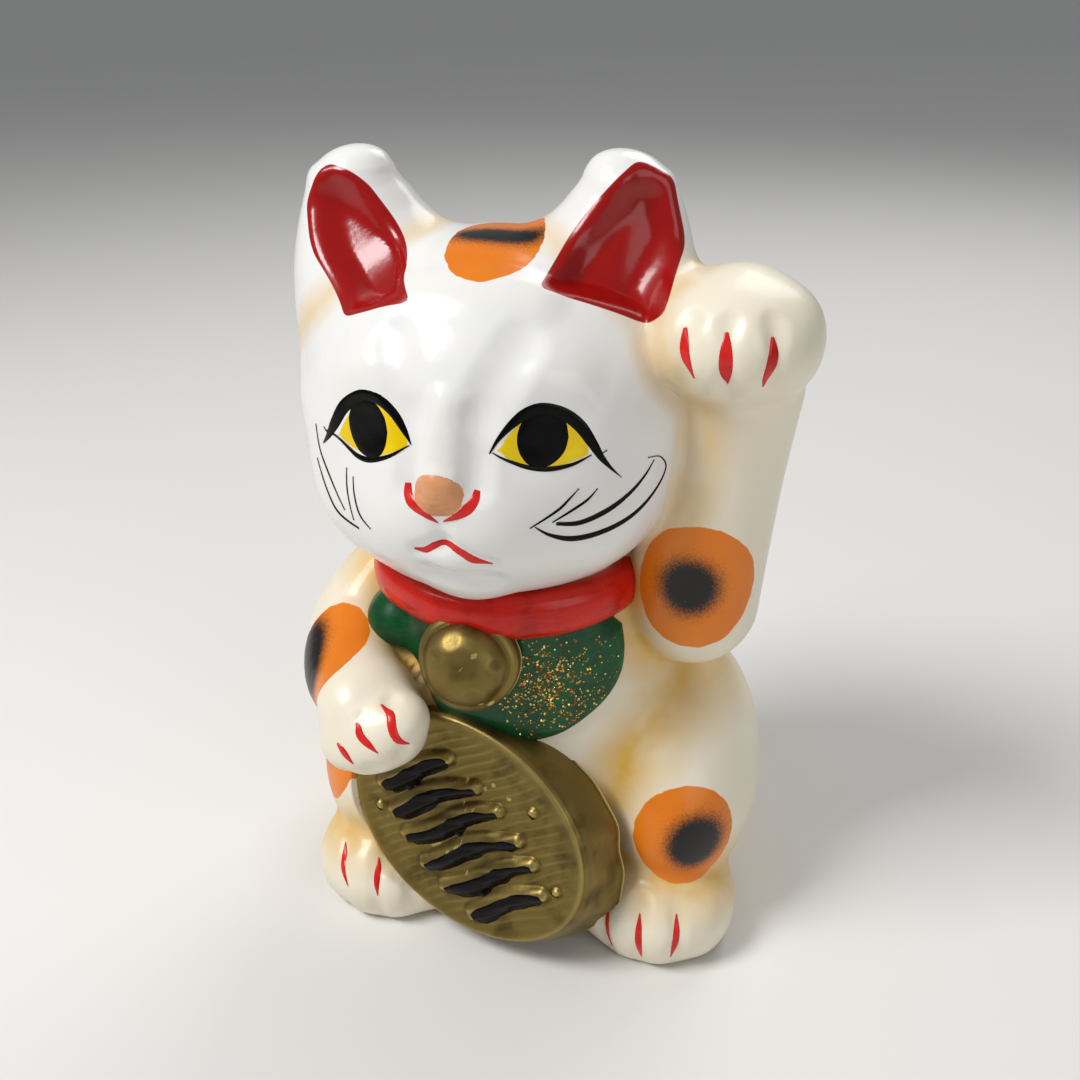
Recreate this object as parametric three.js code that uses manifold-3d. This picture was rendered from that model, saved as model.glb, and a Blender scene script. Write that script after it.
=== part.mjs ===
// A beckoning cat coin bank, slip-cast and painted. Body and head are hollow castings; ears, limbs, tail, coin,
// bell, collar and bib are formed apart and luted on; a rubber bung closes the hole in the base.
// Millimetres, +Z up. The cat looks along -Y, so its own left, where the raised arm is, lies towards +X.
import * as THREE from "three";
import { mergeVertices } from "three/addons/utils/BufferGeometryUtils.js";
import Module from "manifold-3d";

const wasm = await Module();
wasm.setup();

// Driving dimensions.
const WALL = 4.5; // thickness of the cast walls
const SEAM = 0.3; // slip joint between neighbouring castings
const BASE = 5.5; // thickness of the floor inside the body
const NECK = { hole: 20, x: -4, y: -8 }; // the passage between body and head
const SLOT = { width: 38, height: 5, z: 84 }; // coin slot in the back
const BUNG = { hole: 15, plug: 14.6, flange: 19, flangeThick: 2.2, x: 2, y: 6 };
const FOOT_RECESS = { rx: 36, ry: 30, depth: 3.2 }; // hollow under the base that takes the bung's flange

// ---- solids ---------------------------------------------------------------------------------------------

// A closed three.js geometry as a manifold solid.
function solid(geometry) {
  const bare = geometry.index ? geometry.toNonIndexed() : geometry.clone();
  bare.deleteAttribute("normal");
  bare.deleteAttribute("uv");
  const merged = mergeVertices(bare, 1e-3);
  return new wasm.Manifold(
    new wasm.Mesh({
      numProp: 3,
      vertProperties: merged.attributes.position.array,
      triVerts: new Uint32Array(merged.index.array),
    }),
  );
}

// A manifold solid as a named mesh.
function piece(name, body, material) {
  const made = body.getMesh();
  const geometry = new THREE.BufferGeometry();
  geometry.setAttribute("position", new THREE.BufferAttribute(made.vertProperties, 3));
  geometry.setIndex(new THREE.BufferAttribute(made.triVerts, 1));
  geometry.computeVertexNormals();
  const mesh = new THREE.Mesh(geometry, material);
  mesh.name = name;
  return mesh;
}

const union = (...bodies) => bodies.reduce((sum, body) => sum.add(body));
const without = (body, ...tools) => tools.reduce((rest, tool) => rest.subtract(tool), body);

// Moves a geometry to a place, after turning it about X, Y and Z by the given degrees.
function placed(geometry, at, turn = [0, 0, 0]) {
  const euler = new THREE.Euler(...turn.map(THREE.MathUtils.degToRad), "XYZ");
  return geometry
    .applyMatrix4(new THREE.Matrix4().makeRotationFromEuler(euler))
    .translate(...at);
}

// An ellipsoid.
function egg(at, radii, { turn, grow = 0, around = 20, rows = 12 } = {}) {
  const ball = new THREE.SphereGeometry(1, around, rows).rotateX(Math.PI / 2);
  return solid(placed(ball.scale(...radii.map((r) => r + grow)), at, turn));
}

// A lathe-turned skin whose rows are laid on the given rings. A ring is { centre, side, front }, where side and
// front are the ring's two half axes; the first and last rings close to a point.
function ringed(rings, around) {
  const last = rings.length - 1;
  const profile = rings.map((_, row) => new THREE.Vector2(row === 0 || row === last ? 0 : 1, row));
  const geometry = new THREE.LatheGeometry(profile, around);
  const position = geometry.attributes.position;
  const point = new THREE.Vector3();
  for (let i = 0; i < position.count; i++) {
    const { centre, side, front } = rings[Math.round(position.getY(i))];
    point.copy(centre).addScaledVector(side, position.getX(i));
    point.addScaledVector(front, -position.getZ(i));
    position.setXYZ(i, ...point);
  }
  return solid(geometry);
}

// A body with level elliptical sections. A station is [z, half width, half depth, centre x, centre y]; caps are
// the heights of the domes beyond the first and last station.
function loft(stations, { caps = [0, 0], grow = 0, around = 28, rows = 8 } = {}) {
  const curve = (pick) => new THREE.CatmullRomCurve3(stations.map(pick), false, "catmullrom", 0.5);
  const girths = curve(([z, rx, ry]) => new THREE.Vector3(rx, ry, z));
  const spine = curve(([z, , , cx, cy]) => new THREE.Vector3(cx, cy, z));
  const ring = (t, lift, share) => {
    const girth = girths.getPoint(t);
    const centre = spine.getPoint(t);
    centre.z += lift;
    return {
      centre,
      side: new THREE.Vector3((girth.x + grow) * share, 0, 0),
      front: new THREE.Vector3(0, (girth.y + grow) * share, 0),
    };
  };
  return ringed(cappedRows(ring, caps, grow, rows), around);
}

// Rings for a body with domed or flat ends: ring(t, lift, share) gives one at parameter t.
function cappedRows(ring, caps, grow, rows) {
  const CAP_ROWS = 3;
  const dome = (t, cap, sign) =>
    Array.from({ length: CAP_ROWS + 1 }, (_, i) => {
      const angle = ((i + (cap > 0 ? 1 : CAP_ROWS)) / (CAP_ROWS + 1)) * (Math.PI / 2);
      const share = i === CAP_ROWS ? 0.001 : Math.cos(angle);
      return ring(t, sign * (cap > 0 ? (cap + grow) * Math.sin(angle) : 0), share);
    });
  const middle = Array.from({ length: rows + 1 }, (_, i) => ring(i / rows, 0, 1));
  const ends = caps.map((cap, i) => (cap > 0 ? dome(i, cap, i ? 1 : -1) : [ring(i, 0, 0.001)]));
  return [...ends[0].reverse(), ...middle, ...ends[1]];
}

// A round limb with ball ends. A station is [x, y, z, radius].
function limb(stations, { grow = 0, around = 18, rows = 7 } = {}) {
  const curve = (pick) => new THREE.CatmullRomCurve3(stations.map(pick), false, "catmullrom", 0.5);
  const path = curve(([x, y, z]) => new THREE.Vector3(x, y, z));
  const girth = curve(([, , , r]) => new THREE.Vector3(r, 0, 0));
  const ring = (t, lift, share) => {
    const along = path.getTangent(t);
    const side = new THREE.Vector3(0, 1, 0).cross(along).normalize();
    const front = new THREE.Vector3().crossVectors(along, side);
    const radius = (girth.getPoint(t).x + grow) * share;
    const centre = path.getPoint(t).addScaledVector(along, lift);
    return { centre, side: side.multiplyScalar(radius), front: front.multiplyScalar(radius) };
  };
  const caps = [stations[0][3], stations.at(-1)[3]];
  return ringed(cappedRows(ring, caps, grow, rows), around);
}

// A turned piece that stands on z = 0 with its axis along Z. The profile is [radius, z] pairs, from axis to axis.
function turned(profile, around = 40) {
  const points = profile.map(([r, z]) => new THREE.Vector2(r, z));
  return new THREE.LatheGeometry(points, around).rotateX(Math.PI / 2);
}

// A straight bar with round ends along X, standing on z = 0.
function bar(length, width, height) {
  const r = width / 2;
  const outline = new THREE.Shape();
  outline.absarc(length / 2 - r, 0, r, -Math.PI / 2, Math.PI / 2);
  outline.absarc(-length / 2 + r, 0, r, Math.PI / 2, (3 * Math.PI) / 2);
  return new THREE.ExtrudeGeometry(outline, { depth: height, bevelEnabled: false, curveSegments: 4 });
}

// ---- body -----------------------------------------------------------------------------------------------

const TORSO = [
  [0, 49, 43, 2, 6],
  [8, 52, 46, 2, 6],
  [35, 53, 47, 1, 4],
  [60, 49, 43, 0, 1],
  [80, 43, 38, -2, -3],
  [95, 37, 34, -3, -6],
  [106, 32, 31, -4, -8],
  [117, 25, 25, -4, -8],
];
const torso = (grow = 0) => loft(TORSO, { grow, around: 32, rows: 10 });

// A level slab far wider than the cat, from one height to another.
const slab = (low, high) => solid(new THREE.BoxGeometry(300, 300, high - low).translate(0, 0, (low + high) / 2));

// The body is a shell open at the foot and at the neck, with the coin slot in its back.
function torsoCasting() {
  const inner = TORSO.map(([z, rx, ry, cx, cy]) => [z, rx - WALL, ry - WALL, cx, cy]);
  const cavity = loft(inner, { around: 24, rows: 7 });
  const throat = turned([[0, 94], [NECK.hole, 94], [NECK.hole, 120], [0, 120]], 28);
  throat.translate(NECK.x, NECK.y, 0);
  const slot = new THREE.BoxGeometry(SLOT.width, 30, SLOT.height).translate(-2, 34, SLOT.z);
  return without(torso(), slab(-10, BASE + SEAM), cavity, solid(throat), solid(slot));
}

// The base plate closes the body's foot, with a recess and a hole for the bung.
function basePlate() {
  const recess = turned([[0, -1], [1, -1], [1, FOOT_RECESS.depth], [0, FOOT_RECESS.depth]], 36);
  recess.scale(FOOT_RECESS.rx, FOOT_RECESS.ry, 1);
  const hole = turned([[0, -1], [BUNG.hole, -1], [BUNG.hole, BASE + 3], [0, BASE + 3]], 36);
  const openings = [recess, hole].map((tool) => solid(tool.translate(BUNG.x, BUNG.y, 0)));
  return without(torso(), slab(BASE, 140), ...openings);
}

// The bung sits in the recess with its flange clear of the ground.
function bung() {
  const top = FOOT_RECESS.depth - SEAM;
  const bottom = top - BUNG.flangeThick;
  const lip = BASE + 1.2;
  const profile = [
    [0, bottom],
    [BUNG.flange - 0.8, bottom],
    [BUNG.flange, bottom + 0.8],
    [BUNG.flange, top],
    [BUNG.plug, top],
    [BUNG.plug, lip],
    [BUNG.plug - 1.5, lip + 3],
    [0, lip + 3],
  ];
  return solid(turned(profile, 28).translate(BUNG.x, BUNG.y, 0));
}

// ---- head -----------------------------------------------------------------------------------------------

const HEAD = { at: [-5, -14, 146], radii: [47.5, 44, 41.5] };
const JAW = { at: [-5, -24, 130], radii: [41.5, 34, 26] };
const MUZZLE = { at: [-5.5, -45, 133], radii: [21, 15.5, 17] };
const BROW = { at: [-5, -18, 155], radii: [44.5, 39, 30] };
const EAR = [
  [146, 17, 21, 21, -5],
  [158, 21, 24.5, 24.5, -7.5],
  [168, 22.2, 23.5, 26.8, -9.8],
  [178, 20.5, 20.5, 28.6, -10],
  [187, 17.5, 16.3, 30.4, -10],
  [195, 13.2, 12, 32.2, -10.2],
  [201, 9.5, 8.6, 33.6, -11],
];
const EAR_TIP = 5.5;
const EAR_SCOOP = [
  [172, 12, 5],
  [180, 16, 8],
  [188, 13, 8],
  [195, 8, 6],
  [199, 3, 3],
];
const EARS_X = -7.5; // the ears stand either side of this x
const SCOOP_OUT = 2; // the scoops face a little outwards

const skull = (grow = 0) =>
  union(
    egg(HEAD.at, HEAD.radii, { grow, around: 30, rows: 18 }),
    egg(JAW.at, JAW.radii, { grow }),
    egg(BROW.at, BROW.radii, { grow }),
    egg(MUZZLE.at, MUZZLE.radii, { grow, around: 14, rows: 8 }),
  );

const EARS = [-1, 1].map((side) => EAR.map(([z, rx, ry, out, cy]) => [z, rx, ry, EARS_X + side * out, cy]));
const earForm = (stations, grow = 0) => loft(stations, { caps: [0, EAR_TIP], grow, around: 18, rows: 5 });
const headForm = (grow = 0) => union(skull(grow), ...EARS.map((stations) => earForm(stations, grow)));

function headCasting() {
  const cavity = egg(HEAD.at, HEAD.radii.map((r) => r - WALL));
  const throat = turned([[0, 94], [NECK.hole, 94], [NECK.hole, 125], [0, 125]], 28);
  throat.translate(NECK.x, NECK.y, 0);
  return without(skull(), cavity, solid(throat), torso(SEAM));
}

// An ear with its scoop, which follows the ear's front face. The sides are 0 for the right ear and 1 for the left.
function ear(side) {
  const stations = EARS[side];
  const scoop = EAR_SCOOP.map(([z, rx, ry]) => {
    const upper = stations.findIndex(([level]) => level > z);
    const [low, high] = [stations[upper - 1], stations[upper]];
    const t = (z - low[0]) / (high[0] - low[0]);
    const mix = (k) => low[k] + t * (high[k] - low[k]);
    return [z, rx, ry, mix(3) + (side ? SCOOP_OUT : -SCOOP_OUT), mix(4) - mix(2)];
  });
  return without(earForm(stations), loft(scoop, { caps: [3, 2], around: 14, rows: 5 }), skull(SEAM));
}

// ---- limbs ----------------------------------------------------------------------------------------------

const raisedArm = (grow = 0) =>
  union(
    limb(
      [
        [45, -13, 95, 17.5],
        [47, -13, 112, 17],
        [50.5, -13, 134, 15.8],
        [53, -15.5, 155, 16.2],
      ],
      { grow },
    ),
    egg([53.5, -24, 171], [17.3, 20.5, 13.8], { grow, around: 22, rows: 14 }),
  );

const RAISED_TOES = [-12, -4.2, 4.2, 12];
function raisedArmCasting() {
  const toes = RAISED_TOES.map((x) =>
    egg([53 + x, -34 + 0.04 * x * x, 169], [6, 10, 8.8], { around: 10, rows: 7 }),
  );
  return without(union(raisedArm(), ...toes), torso(SEAM), headForm(SEAM));
}

const restingArm = (grow = 0) =>
  union(
    limb(
      [
        [-39.5, -12, 91, 12.5],
        [-45, -20, 80, 14.5],
        [-42, -36, 75, 13.5],
        [-34, -47, 75, 11.5],
      ],
      { grow },
    ),
    egg([-30, -53, 73], [14.5, 12, 9.8], { turn: [0, 35, 0], grow, around: 16, rows: 10 }),
  );

const RESTING_TOES = [
  [-20, -57.5, 76.5],
  [-25.5, -60, 72],
  [-31.5, -59.5, 68.5],
  [-37, -56, 67],
];
function restingArmCasting() {
  const toes = RESTING_TOES.map((at) => egg(at, [5.4, 6.5, 5.8], { turn: [0, 35, 0], around: 10, rows: 7 }));
  return without(
    union(restingArm(), ...toes),
    torso(SEAM),
    skull(SEAM),
    collarRing(SEAM),
    bibSheet(SEAM),
    coinBlank(SEAM),
  );
}

const HAUNCH = { x: 39, y: -6, z: 40, radii: [24.5, 40, 31], lean: 24 };
const MIDLINE = 2.5; // the hind legs stand either side of this x
const haunch = (side, grow = 0) =>
  egg([MIDLINE + side * HAUNCH.x, HAUNCH.y, HAUNCH.z], HAUNCH.radii, {
    turn: [HAUNCH.lean, 0, side * 6],
    grow,
    around: 24,
    rows: 16,
  });

const ground = () => slab(-60, 0);

const PAW = { x: 40, y: -31, z: 10.5, radii: [19.5, 22, 14] };
function hindPaw(side) {
  const at = [MIDLINE + side * PAW.x, PAW.y, PAW.z];
  const toes = [-12.5, 0, 12.5].map((x) =>
    egg([at[0] + x, at[1] - 12 + 0.03 * x * x, at[2] - 0.5], [8, 10.5, 12], { around: 12, rows: 7 }),
  );
  return without(
    union(egg(at, PAW.radii), ...toes),
    ground(),
    torso(SEAM),
    haunch(side, SEAM),
    coinBlank(SEAM),
  );
}

const hindLeg = (side) =>
  without(
    haunch(side),
    ground(),
    torso(SEAM),
    coinBlank(SEAM),
    side > 0 ? raisedArm(SEAM) : restingArm(SEAM),
    bibSheet(SEAM),
  );

const TAIL = [
  [34, 40, 12, 8],
  [22, 49, 13, 9],
  [6, 52, 22, 9],
  [-3, 49, 36, 8],
  [-1, 46, 48, 6.5],
];
const tail = () => without(limb(TAIL, { around: 16 }), ground(), torso(SEAM), haunch(1, SEAM));

// ---- ornaments ------------------------------------------------------------------------------------------

const COLLAR = { at: [-4, -8, 101], rx: 34, ry: 34, tube: 5.2 };
const collarRing = (grow = 0) => {
  const ring = new THREE.TorusGeometry(1, 1, 10, 36);
  const position = ring.attributes.position;
  for (let i = 0; i < position.count; i++) {
    const angle = Math.atan2(position.getY(i), position.getX(i));
    const out = Math.hypot(position.getX(i), position.getY(i)) - 1;
    position.setXYZ(
      i,
      COLLAR.at[0] + (COLLAR.rx + out * (COLLAR.tube + grow)) * Math.cos(angle),
      COLLAR.at[1] + (COLLAR.ry + out * (COLLAR.tube + grow)) * Math.sin(angle),
      COLLAR.at[2] + position.getZ(i) * (COLLAR.tube * 1.15 + grow),
    );
  }
  return solid(ring);
};
const collar = () => without(collarRing(), torso(SEAM), skull(SEAM), raisedArm(SEAM));

const BIB = { x: -5, top: 97, halfWidth: 37, drop: 33, thick: 2.2 };
const bibSheet = (grow = 0) => {
  const outline = new THREE.Shape();
  outline.moveTo(BIB.x + BIB.halfWidth + grow, BIB.top + 6);
  outline.lineTo(BIB.x - BIB.halfWidth - grow, BIB.top + 6);
  outline.lineTo(BIB.x - BIB.halfWidth - grow, BIB.top);
  outline.absellipse(BIB.x, BIB.top, BIB.halfWidth + grow, BIB.drop + grow, Math.PI, 2 * Math.PI, false);
  const depth = 70;
  const prism = new THREE.ExtrudeGeometry(outline, { depth, bevelEnabled: false, curveSegments: 18 });
  prism.rotateX(Math.PI / 2).translate(0, 0, 0); // now it runs from y = 0 towards the front
  return solid(prism.translate(0, -8, 0)).intersect(torso(BIB.thick + grow)).subtract(torso(SEAM - grow));
};
const bib = () => without(bibSheet(), collarRing(SEAM), raisedArm(SEAM), coinBlank(SEAM));

const BELL = { at: [-5, -47, 89], turn: [76, 0, -6], radius: 13 };
function bell() {
  const r = BELL.radius;
  const profile = [
    [0, -3],
    [r - 1, -3],
    [r, -1.6],
    [r, 0.4],
    [r - 0.8, 1.4],
    [r - 1.8, 1.8],
    [r - 2, 2.8],
    [r - 2.8, 3.2],
    [r - 3.6, 5.4],
    [r - 5.8, 8],
    [r - 9, 9.6],
    [0, 10.2],
  ];
  const dome = solid(placed(turned(profile, 28), BELL.at, BELL.turn));
  return without(dome, torso(SEAM), bibSheet(SEAM), collarRing(SEAM), coinBlank(SEAM));
}

const COIN = { at: [-8.8, -50.7, 38], turn: [80, -14, -26.6], rx: 37.4, ry: 30.5, deep: 15, flare: 1.5, rim: 4 };
// The coin's front face lies at its own z = 0; the wall behind widens a little and leans to one side.
const COIN_LEAN = new THREE.Matrix4().makeShear(0, 0, 0, 0, -0.3, 0.1);
const coinBlank = (grow = 0) => {
  const rx = COIN.rx + grow;
  const share = (inset) => 1 - inset / rx;
  const profile = [
    [0, -COIN.deep - grow],
    [share(-COIN.flare), -COIN.deep - grow],
    [share(-0.4), -2.4],
    [share(0.6), -0.5],
    [share(1.8), grow],
    [share(3), grow],
    [share(COIN.rim + 0.6), grow ? grow : -1],
    [0, grow ? grow : -1],
  ];
  const blank = turned(profile, 36).scale(rx, COIN.ry + grow, 1).applyMatrix4(COIN_LEAN);
  return solid(placed(blank, COIN.at, COIN.turn));
};

// Raised wave bars take the place of any inscription.
const COIN_TILT = THREE.MathUtils.degToRad(55);
const COIN_BARS = [
  [-20, 5, 24],
  [-12, 1.9, 29],
  [-4, -1.2, 32],
  [4, -4.3, 32],
  [12, -7.4, 30],
  [20, -10.5, 24],
];
function coin() {
  const bars = COIN_BARS.map(([x, y, length]) =>
    solid(placed(bar(length, 5.4, 2.2).rotateZ(COIN_TILT).translate(x, y, -1.6), COIN.at, COIN.turn)),
  );
  return without(union(coinBlank(), ...bars), torso(SEAM), ground());
}

// ---- assembly -------------------------------------------------------------------------------------------

const paint = (color, roughness, metalness = 0) => new THREE.MeshStandardMaterial({ color, roughness, metalness });
const WHITE = paint(0xf1eee6, 0.25);
const RED = paint(0xb5110c, 0.3);
const GREEN = paint(0x0b4524, 0.35);
const GOLD = paint(0x8d7840, 0.45, 0.6);
const RUBBER = paint(0x2b2a29, 0.85);

const cat = new THREE.Group();
cat.name = "beckoning_cat";
cat.add(
  piece("body_casting", torsoCasting(), WHITE),
  piece("base_plate", basePlate(), WHITE),
  piece("head_casting", headCasting(), WHITE),
  piece("left_ear", ear(1), WHITE),
  piece("right_ear", ear(0), WHITE),
  piece("raised_arm", raisedArmCasting(), WHITE),
  piece("resting_arm", restingArmCasting(), WHITE),
  piece("left_haunch", hindLeg(1), WHITE),
  piece("right_haunch", hindLeg(-1), WHITE),
  piece("left_hind_paw", hindPaw(1), WHITE),
  piece("right_hind_paw", hindPaw(-1), WHITE),
  piece("tail", tail(), WHITE),
  piece("collar", collar(), RED),
  piece("bib", bib(), GREEN),
  piece("bell", bell(), GOLD),
  piece("koban_coin", coin(), GOLD),
  piece("base_bung", bung(), RUBBER),
);

// The cat stands on z = 0 with the middle of its bounding box over the origin.
const extent = new THREE.Box3().setFromObject(cat);
const middle = extent.getCenter(new THREE.Vector3());
cat.position.set(-middle.x, -middle.y, -extent.min.z);
cat.updateMatrixWorld(true);

export default cat;
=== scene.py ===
"""Looks of a seated beckoning cat coin bank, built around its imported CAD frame.

The cat is one slip-cast ceramic figure. Its skin is a smooth union of modelled forms, parted along the
moulded creases, so each piece meets its neighbours without a step. Painted marks are thin raised pieces of
enamel laid on the skin. Forms are given in millimetres in the modelling frame, where the cat looks along -Y
and the bung's axis stands at BUNG_AXIS; `Bench` turns that frame into the CAD model's.
"""
import logging
import math
from dataclasses import dataclass, field
from enum import Enum
from functools import cached_property, partial
from typing import Callable, Optional, Sequence

import bmesh
import bpy
import numpy as np
from mathutils import Matrix, Vector


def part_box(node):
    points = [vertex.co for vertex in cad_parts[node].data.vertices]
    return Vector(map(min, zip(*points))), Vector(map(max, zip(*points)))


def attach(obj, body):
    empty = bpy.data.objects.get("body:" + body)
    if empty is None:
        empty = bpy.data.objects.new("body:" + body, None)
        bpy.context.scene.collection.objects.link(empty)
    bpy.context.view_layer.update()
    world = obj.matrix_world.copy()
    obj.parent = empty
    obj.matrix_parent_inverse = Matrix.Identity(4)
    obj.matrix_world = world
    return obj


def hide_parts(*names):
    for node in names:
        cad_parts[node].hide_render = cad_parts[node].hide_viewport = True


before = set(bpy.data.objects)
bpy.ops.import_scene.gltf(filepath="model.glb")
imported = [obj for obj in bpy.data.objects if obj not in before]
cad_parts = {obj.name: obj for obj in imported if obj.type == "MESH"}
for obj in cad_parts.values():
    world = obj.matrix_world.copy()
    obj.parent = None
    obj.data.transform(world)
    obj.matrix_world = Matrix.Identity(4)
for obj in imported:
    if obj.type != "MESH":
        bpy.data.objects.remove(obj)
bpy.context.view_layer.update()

LOG = logging.getLogger("beckoning_cat")
MM = 0.001
BUNG_AXIS = (2.0, 6.0)
Point = tuple[float, float, float]
Row = Sequence[float]
Field = Callable[[np.ndarray], np.ndarray]


# ---- bench: the modelling frame -------------------------------------------------------------------

class Bench:
    """Turns millimetres in the modelling frame into the CAD model's metres."""

    def __init__(self) -> None:
        """Finds the frame's offset from where the bung stands."""
        low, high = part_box("base_bung")
        middle = (low + high) / 2
        self.offset = Vector((middle.x - BUNG_AXIS[0] * MM, middle.y - BUNG_AXIS[1] * MM, 0.0))

    def place(self, point: Sequence[float]) -> Vector:
        """Returns a modelling point in the CAD model's frame."""
        return Vector(point) * MM + self.offset

    def settle_mesh(self, mesh: bpy.types.Mesh) -> None:
        """Moves a mesh modelled in millimetres to its place in the CAD model's frame."""
        mesh.transform(Matrix.Translation(self.offset) @ Matrix.Scale(MM, 4))


BENCH = Bench()


# ---- forms: signed distances in millimetres -------------------------------------------------------

def melt(a: np.ndarray, b: np.ndarray, width: float) -> np.ndarray:
    """Joins two distances with a fillet.

    Args:
        a: Distance to the first form.
        b: Distance to the second form.
        width: How far the fillet reaches, in millimetres.

    Returns:
        The distance to the joined form.
    """
    share = np.clip(0.5 + 0.5 * (b - a) / width, 0.0, 1.0)
    return b * (1 - share) + a * share - width * share * (1 - share)


def carve(a: np.ndarray, tool: np.ndarray, width: float) -> np.ndarray:
    """Cuts a tool's distance out of a form's, with a rounded edge of the given width."""
    return -melt(-a, tool, width)


def oval(x: np.ndarray, y: np.ndarray, rx: np.ndarray | float, ry: np.ndarray | float) -> np.ndarray:
    """Returns the distance to an upright oval of half widths rx and ry about the origin, negative inside."""
    share = np.hypot(x / rx, y / ry)
    slope = np.hypot(x / rx ** 2, y / ry ** 2)
    return share * (share - 1) / np.maximum(slope, 1e-6)


def smooth_rows(rows: Sequence[Sequence[float]], steps: int) -> np.ndarray:
    """Runs a Catmull-Rom curve through rows of numbers.

    Args:
        rows: The rows that the curve passes through.
        steps: How many rows each stretch is given.

    Returns:
        The finer rows, the given ones among them.
    """
    knots = np.array([rows[0], *rows, rows[-1]], float)
    fine = []
    for i in range(1, len(knots) - 2):
        p0, p1, p2, p3 = knots[i - 1:i + 3]
        for t in np.arange(steps) / steps:
            fine.append(0.5 * (2 * p1 + (p2 - p0) * t + (2 * p0 - 5 * p1 + 4 * p2 - p3) * t ** 2
                               + (3 * p1 - p0 - 3 * p2 + p3) * t ** 3))
    return np.array([*fine, rows[-1]])


@dataclass(frozen=True)
class Egg:
    """An ellipsoid, turned by XYZ Euler degrees in the order Z, Y, X."""

    at: Point
    radii: Point
    turn: Point = (0.0, 0.0, 0.0)

    @cached_property
    def basis(self) -> np.ndarray:
        """The egg's own axes as the columns of a matrix."""
        x, y, z = (Matrix.Rotation(math.radians(angle), 3, axis) for angle, axis in zip(self.turn, "XYZ"))
        return np.array(x @ y @ z)

    def distance(self, points: np.ndarray) -> np.ndarray:
        """Returns each point's distance to the egg's surface, negative inside."""
        local = (points - self.at) @ self.basis
        radii = np.array(self.radii)
        share = np.linalg.norm(local / radii, axis=1)
        slope = np.linalg.norm(local / radii ** 2, axis=1)
        return share * (share - 1) / np.maximum(slope, 1e-6)

    def rough_out(self, mesh: bmesh.types.BMesh, grow: float) -> None:
        """Adds the egg to a mesh, a little larger by grow."""
        scale = Matrix.Diagonal((*(r + grow for r in self.radii), 1.0))
        place = Matrix.Translation(self.at) @ Matrix(self.basis.tolist()).to_4x4() @ scale
        bmesh.ops.create_uvsphere(mesh, u_segments=32, v_segments=20, radius=1.0, matrix=place)


@dataclass(frozen=True)
class Limb:
    """A round limb with ball ends through stations of x, y, z and radius."""

    stations: Sequence[tuple[float, float, float, float]]

    @cached_property
    def path(self) -> np.ndarray:
        """The limb's smooth centre line and radii."""
        return smooth_rows(self.stations, 7)

    def distance(self, points: np.ndarray) -> np.ndarray:
        """Returns each point's distance to the limb's surface, negative inside."""
        nearest = np.full(len(points), 1e3)
        for start, end in zip(self.path[:-1], self.path[1:]):
            along = end[:3] - start[:3]
            share = np.clip((points - start[:3]) @ along / (along @ along), 0.0, 1.0)
            off = np.linalg.norm(points - start[:3] - share[:, None] * along, axis=1)
            nearest = np.minimum(nearest, off - start[3] - share * (end[3] - start[3]))
        return nearest

    def rough_out(self, mesh: bmesh.types.BMesh, grow: float) -> None:
        """Adds the limb to a mesh as a row of balls, a little larger by grow."""
        for x, y, z, radius in self.path[::3]:
            bmesh.ops.create_uvsphere(mesh, u_segments=20, v_segments=12, radius=radius + grow,
                                      matrix=Matrix.Translation((x, y, z)))


@dataclass(frozen=True)
class Stack:
    """A body of level elliptical sections: z, half width, half depth, centre x and centre y."""

    stations: Sequence[tuple[float, float, float, float, float]]
    end_round: float = 3.0

    @cached_property
    def table(self) -> np.ndarray:
        """The sections at closer heights."""
        return smooth_rows(self.stations, 8)

    def distance(self, points: np.ndarray) -> np.ndarray:
        """Returns each point's distance to the stack's surface, negative inside."""
        rows = self.table
        z = np.clip(points[:, 2], rows[0, 0], rows[-1, 0])
        rx, ry, cx, cy = (np.interp(z, rows[:, 0], rows[:, i]) for i in range(1, 5))
        x, y = points[:, 0] - cx, points[:, 1] - cy
        ends = np.maximum(rows[0, 0] - points[:, 2], points[:, 2] - rows[-1, 0])
        return carve(oval(x, y, rx, ry), -ends, self.end_round)

    def rough_out(self, mesh: bmesh.types.BMesh, grow: float) -> None:
        """Adds the stack to a mesh as bridged rings, a little larger by grow."""
        rings = []
        for z, rx, ry, cx, cy in smooth_rows(self.stations, 3):
            place = Matrix.Translation((cx, cy, z)) @ Matrix.Diagonal((rx + grow, ry + grow, 1.0, 1.0))
            made = bmesh.ops.create_circle(mesh, segments=40, radius=1.0, matrix=place)
            rings.append({edge for vert in made["verts"] for edge in vert.link_edges})
        for lower, upper in zip(rings[:-1], rings[1:]):
            bmesh.ops.bridge_loops(mesh, edges=list(lower | upper))
        for ring in (rings[0], rings[-1]):
            bmesh.ops.edgeloop_fill(mesh, edges=list(ring))


@dataclass(frozen=True)
class Seat:
    """The oval hollow in which the coin sits: a turned oval prism between two heights of its own."""

    at: Point
    turn: Point
    rx: float
    ry: float
    low: float
    high: float

    def distance(self, points: np.ndarray) -> np.ndarray:
        """Returns each point's distance to the hollow, negative inside."""
        local = (points - self.at) @ Egg(self.at, (1, 1, 1), self.turn).basis
        side = oval(local[:, 0], local[:, 1], self.rx, self.ry)
        return np.maximum.reduce([side, self.low - local[:, 2], local[:, 2] - self.high])


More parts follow.
